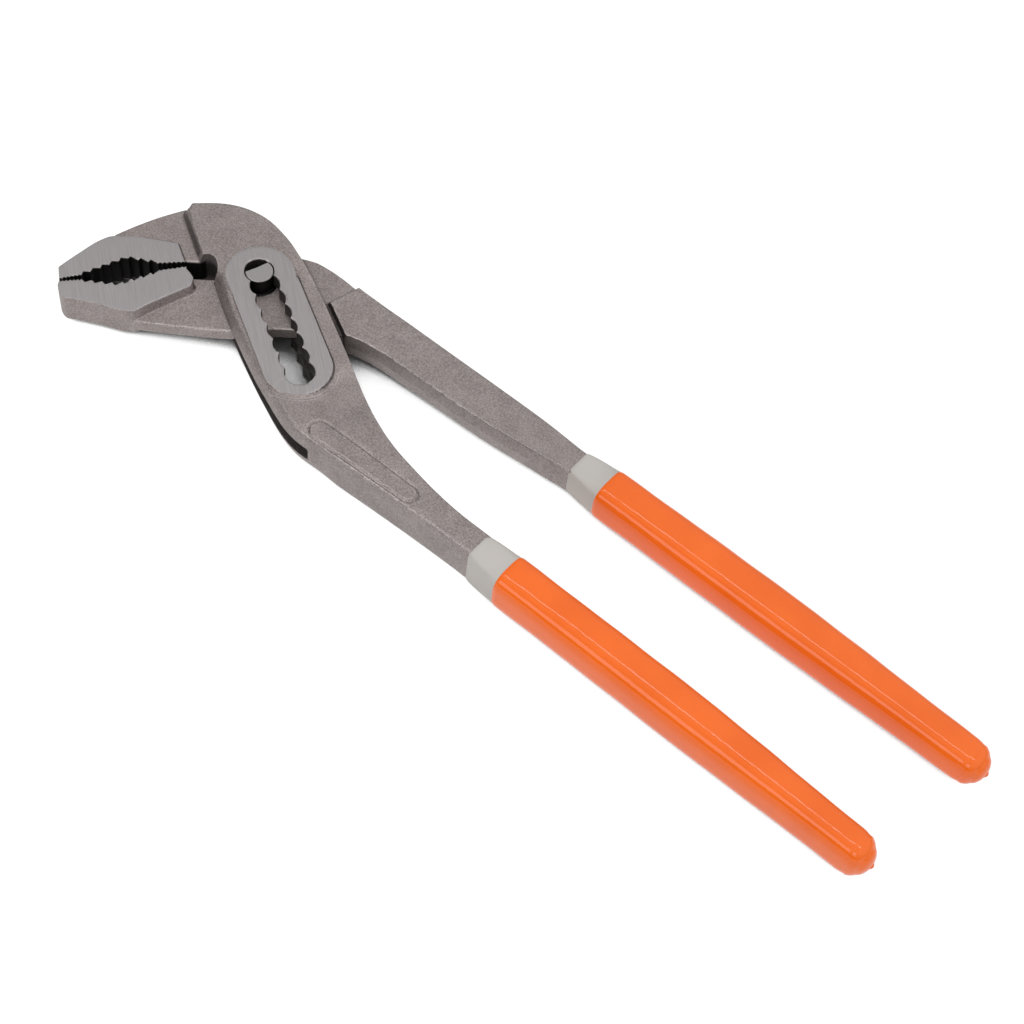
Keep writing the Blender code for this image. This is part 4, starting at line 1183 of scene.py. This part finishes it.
def floor():
    """A white floor that keeps the tool's shadow.

    Rays from the camera, and those that a glossy or clear surface sends on, see a glow that fades where the
    tool closes it in, and a thin lit veil over it. All other light meets a plain white coat."""
    finish = Finish("floor")
    nodes = finish.tree.nodes
    kinds = ("Is Camera Ray", "Is Glossy Ray", "Is Transmission Ray")
    direct, mirrored, passed = [finish.node("ShaderNodeLightPath", out=kind) for kind in kinds]
    reach = {"Distance": SHADE_REACH}
    open_sky = finish.node("ShaderNodeAmbientOcclusion", {"samples": 16}, reach, out="AO")
    strength = open_sky.between(*SHADE_SHARES) * FLOOR_GLOW
    glow = finish.node("ShaderNodeEmission", None, {"Strength": strength})
    veil = finish.node("ShaderNodeBsdfDiffuse", None, {"Color": FLOOR_VEIL})
    seen = finish.node("ShaderNodeAddShader", None, {0: veil, 1: glow})
    lit = finish.node("ShaderNodeBsdfDiffuse", None, {"Color": FLOOR_WHITE})
    total = {"operation": "ADD", "use_clamp": True}
    share = finish.node("ShaderNodeMath", total, {0: direct + mirrored, 1: passed})
    both = finish.node("ShaderNodeMixShader", None, {"Fac": share, 1: lit, 2: seen})
    finish.feed(nodes["Material Output"].inputs["Surface"], both)
    nodes.remove(finish.shader)
    low = float(PIVOT[2]) - BOSS_HIGH * MM
    corners = [(-1, -1), (1, -1), (1, 1), (-1, 1)]
    mesh = bpy.data.meshes.new("floor")
    mesh.from_pydata([(x * FLOOR_HALF, y * FLOOR_HALF, low) for x, y in corners], [], [(0, 1, 2, 3)])
    mesh.materials.append(finish.material)
    sheet = bpy.data.objects.new("floor", mesh)
    bpy.context.scene.collection.objects.link(sheet)


def lamp(name, place, sides, power):
    """A soft light at a place, turned towards the frame's origin, with its first side along the handles."""
    light = bpy.data.lights.new(name, "AREA")
    light.shape, light.energy = "RECTANGLE", power
    light.size, light.size_y = sides
    holder = bpy.data.objects.new(name, light)
    bpy.context.scene.collection.objects.link(holder)
    away = np.array(place) / np.linalg.norm(place)
    side = np.array((1.0, 0.0, 0.0)) - away[0] * away
    side = side / np.linalg.norm(side)
    turn = Matrix(np.stack([side, np.cross(away, side), away], 1).tolist()).to_4x4()
    holder.matrix_world = Matrix.Translation(place) @ turn


def studio():
    """A white tent that is brightest on one side and falls off to the horizon, and the lamps in it."""
    world = bpy.data.worlds.new("studio")
    world.use_nodes = True
    sky = Nodes(world.node_tree)
    ray = sky.node("ShaderNodeTexCoord", out="Generated")
    product = {"operation": "DOT_PRODUCT"}
    facing = sky.node("ShaderNodeVectorMath", product, {0: ray, 1: BRIGHT_SIDE}, out="Value")
    level = sky.node("ShaderNodeSeparateXYZ", None, {"Vector": ray}, out="Z")
    tent = facing.between(*TENT_SPREAD) * TENT_POWER
    fall = level.between(*HORIZON_SPREAD) * (1.0 - HORIZON_SHARE) + HORIZON_SHARE
    background = sky.tree.nodes["Background"]
    sky.feed(background.inputs["Color"], WHITE)
    sky.feed(background.inputs["Strength"], tent * fall)
    bpy.context.scene.world = world
    for name, (place, sides, power) in LAMPS.items():
        lamp(name, place, sides, power)


def camera():
    """Looks at the target from a distance, azimuth and elevation, rolled about its own line of sight."""
    lens = bpy.data.cameras.new("camera")
    lens.lens = CAMERA_LENS
    lens.clip_start = 0.01
    holder = bpy.data.objects.new("camera", lens)
    bpy.context.scene.collection.objects.link(holder)
    sin_a, cos_a = math.sin(CAMERA_AZIMUTH), math.cos(CAMERA_AZIMUTH)
    sin_e, cos_e = math.sin(CAMERA_ELEVATION), math.cos(CAMERA_ELEVATION)
    back = np.array([sin_a * cos_e, -cos_a * cos_e, sin_e])
    level = np.array([cos_a, sin_a, 0.0])
    upright = np.cross(back, level)
    right = math.cos(CAMERA_ROLL) * level + math.sin(CAMERA_ROLL) * upright
    up = math.cos(CAMERA_ROLL) * upright - math.sin(CAMERA_ROLL) * level
    place = PIVOT + (np.array(CAMERA_TARGET) + CAMERA_DISTANCE * back) * MM
    turn = Matrix(np.stack([right, up, back], 1).tolist()).to_4x4()
    holder.matrix_world = Matrix.Translation(place) @ turn
    bpy.context.scene.camera = holder


build()
floor()
studio()
camera()
bpy.context.scene.view_settings.view_transform = "Standard"
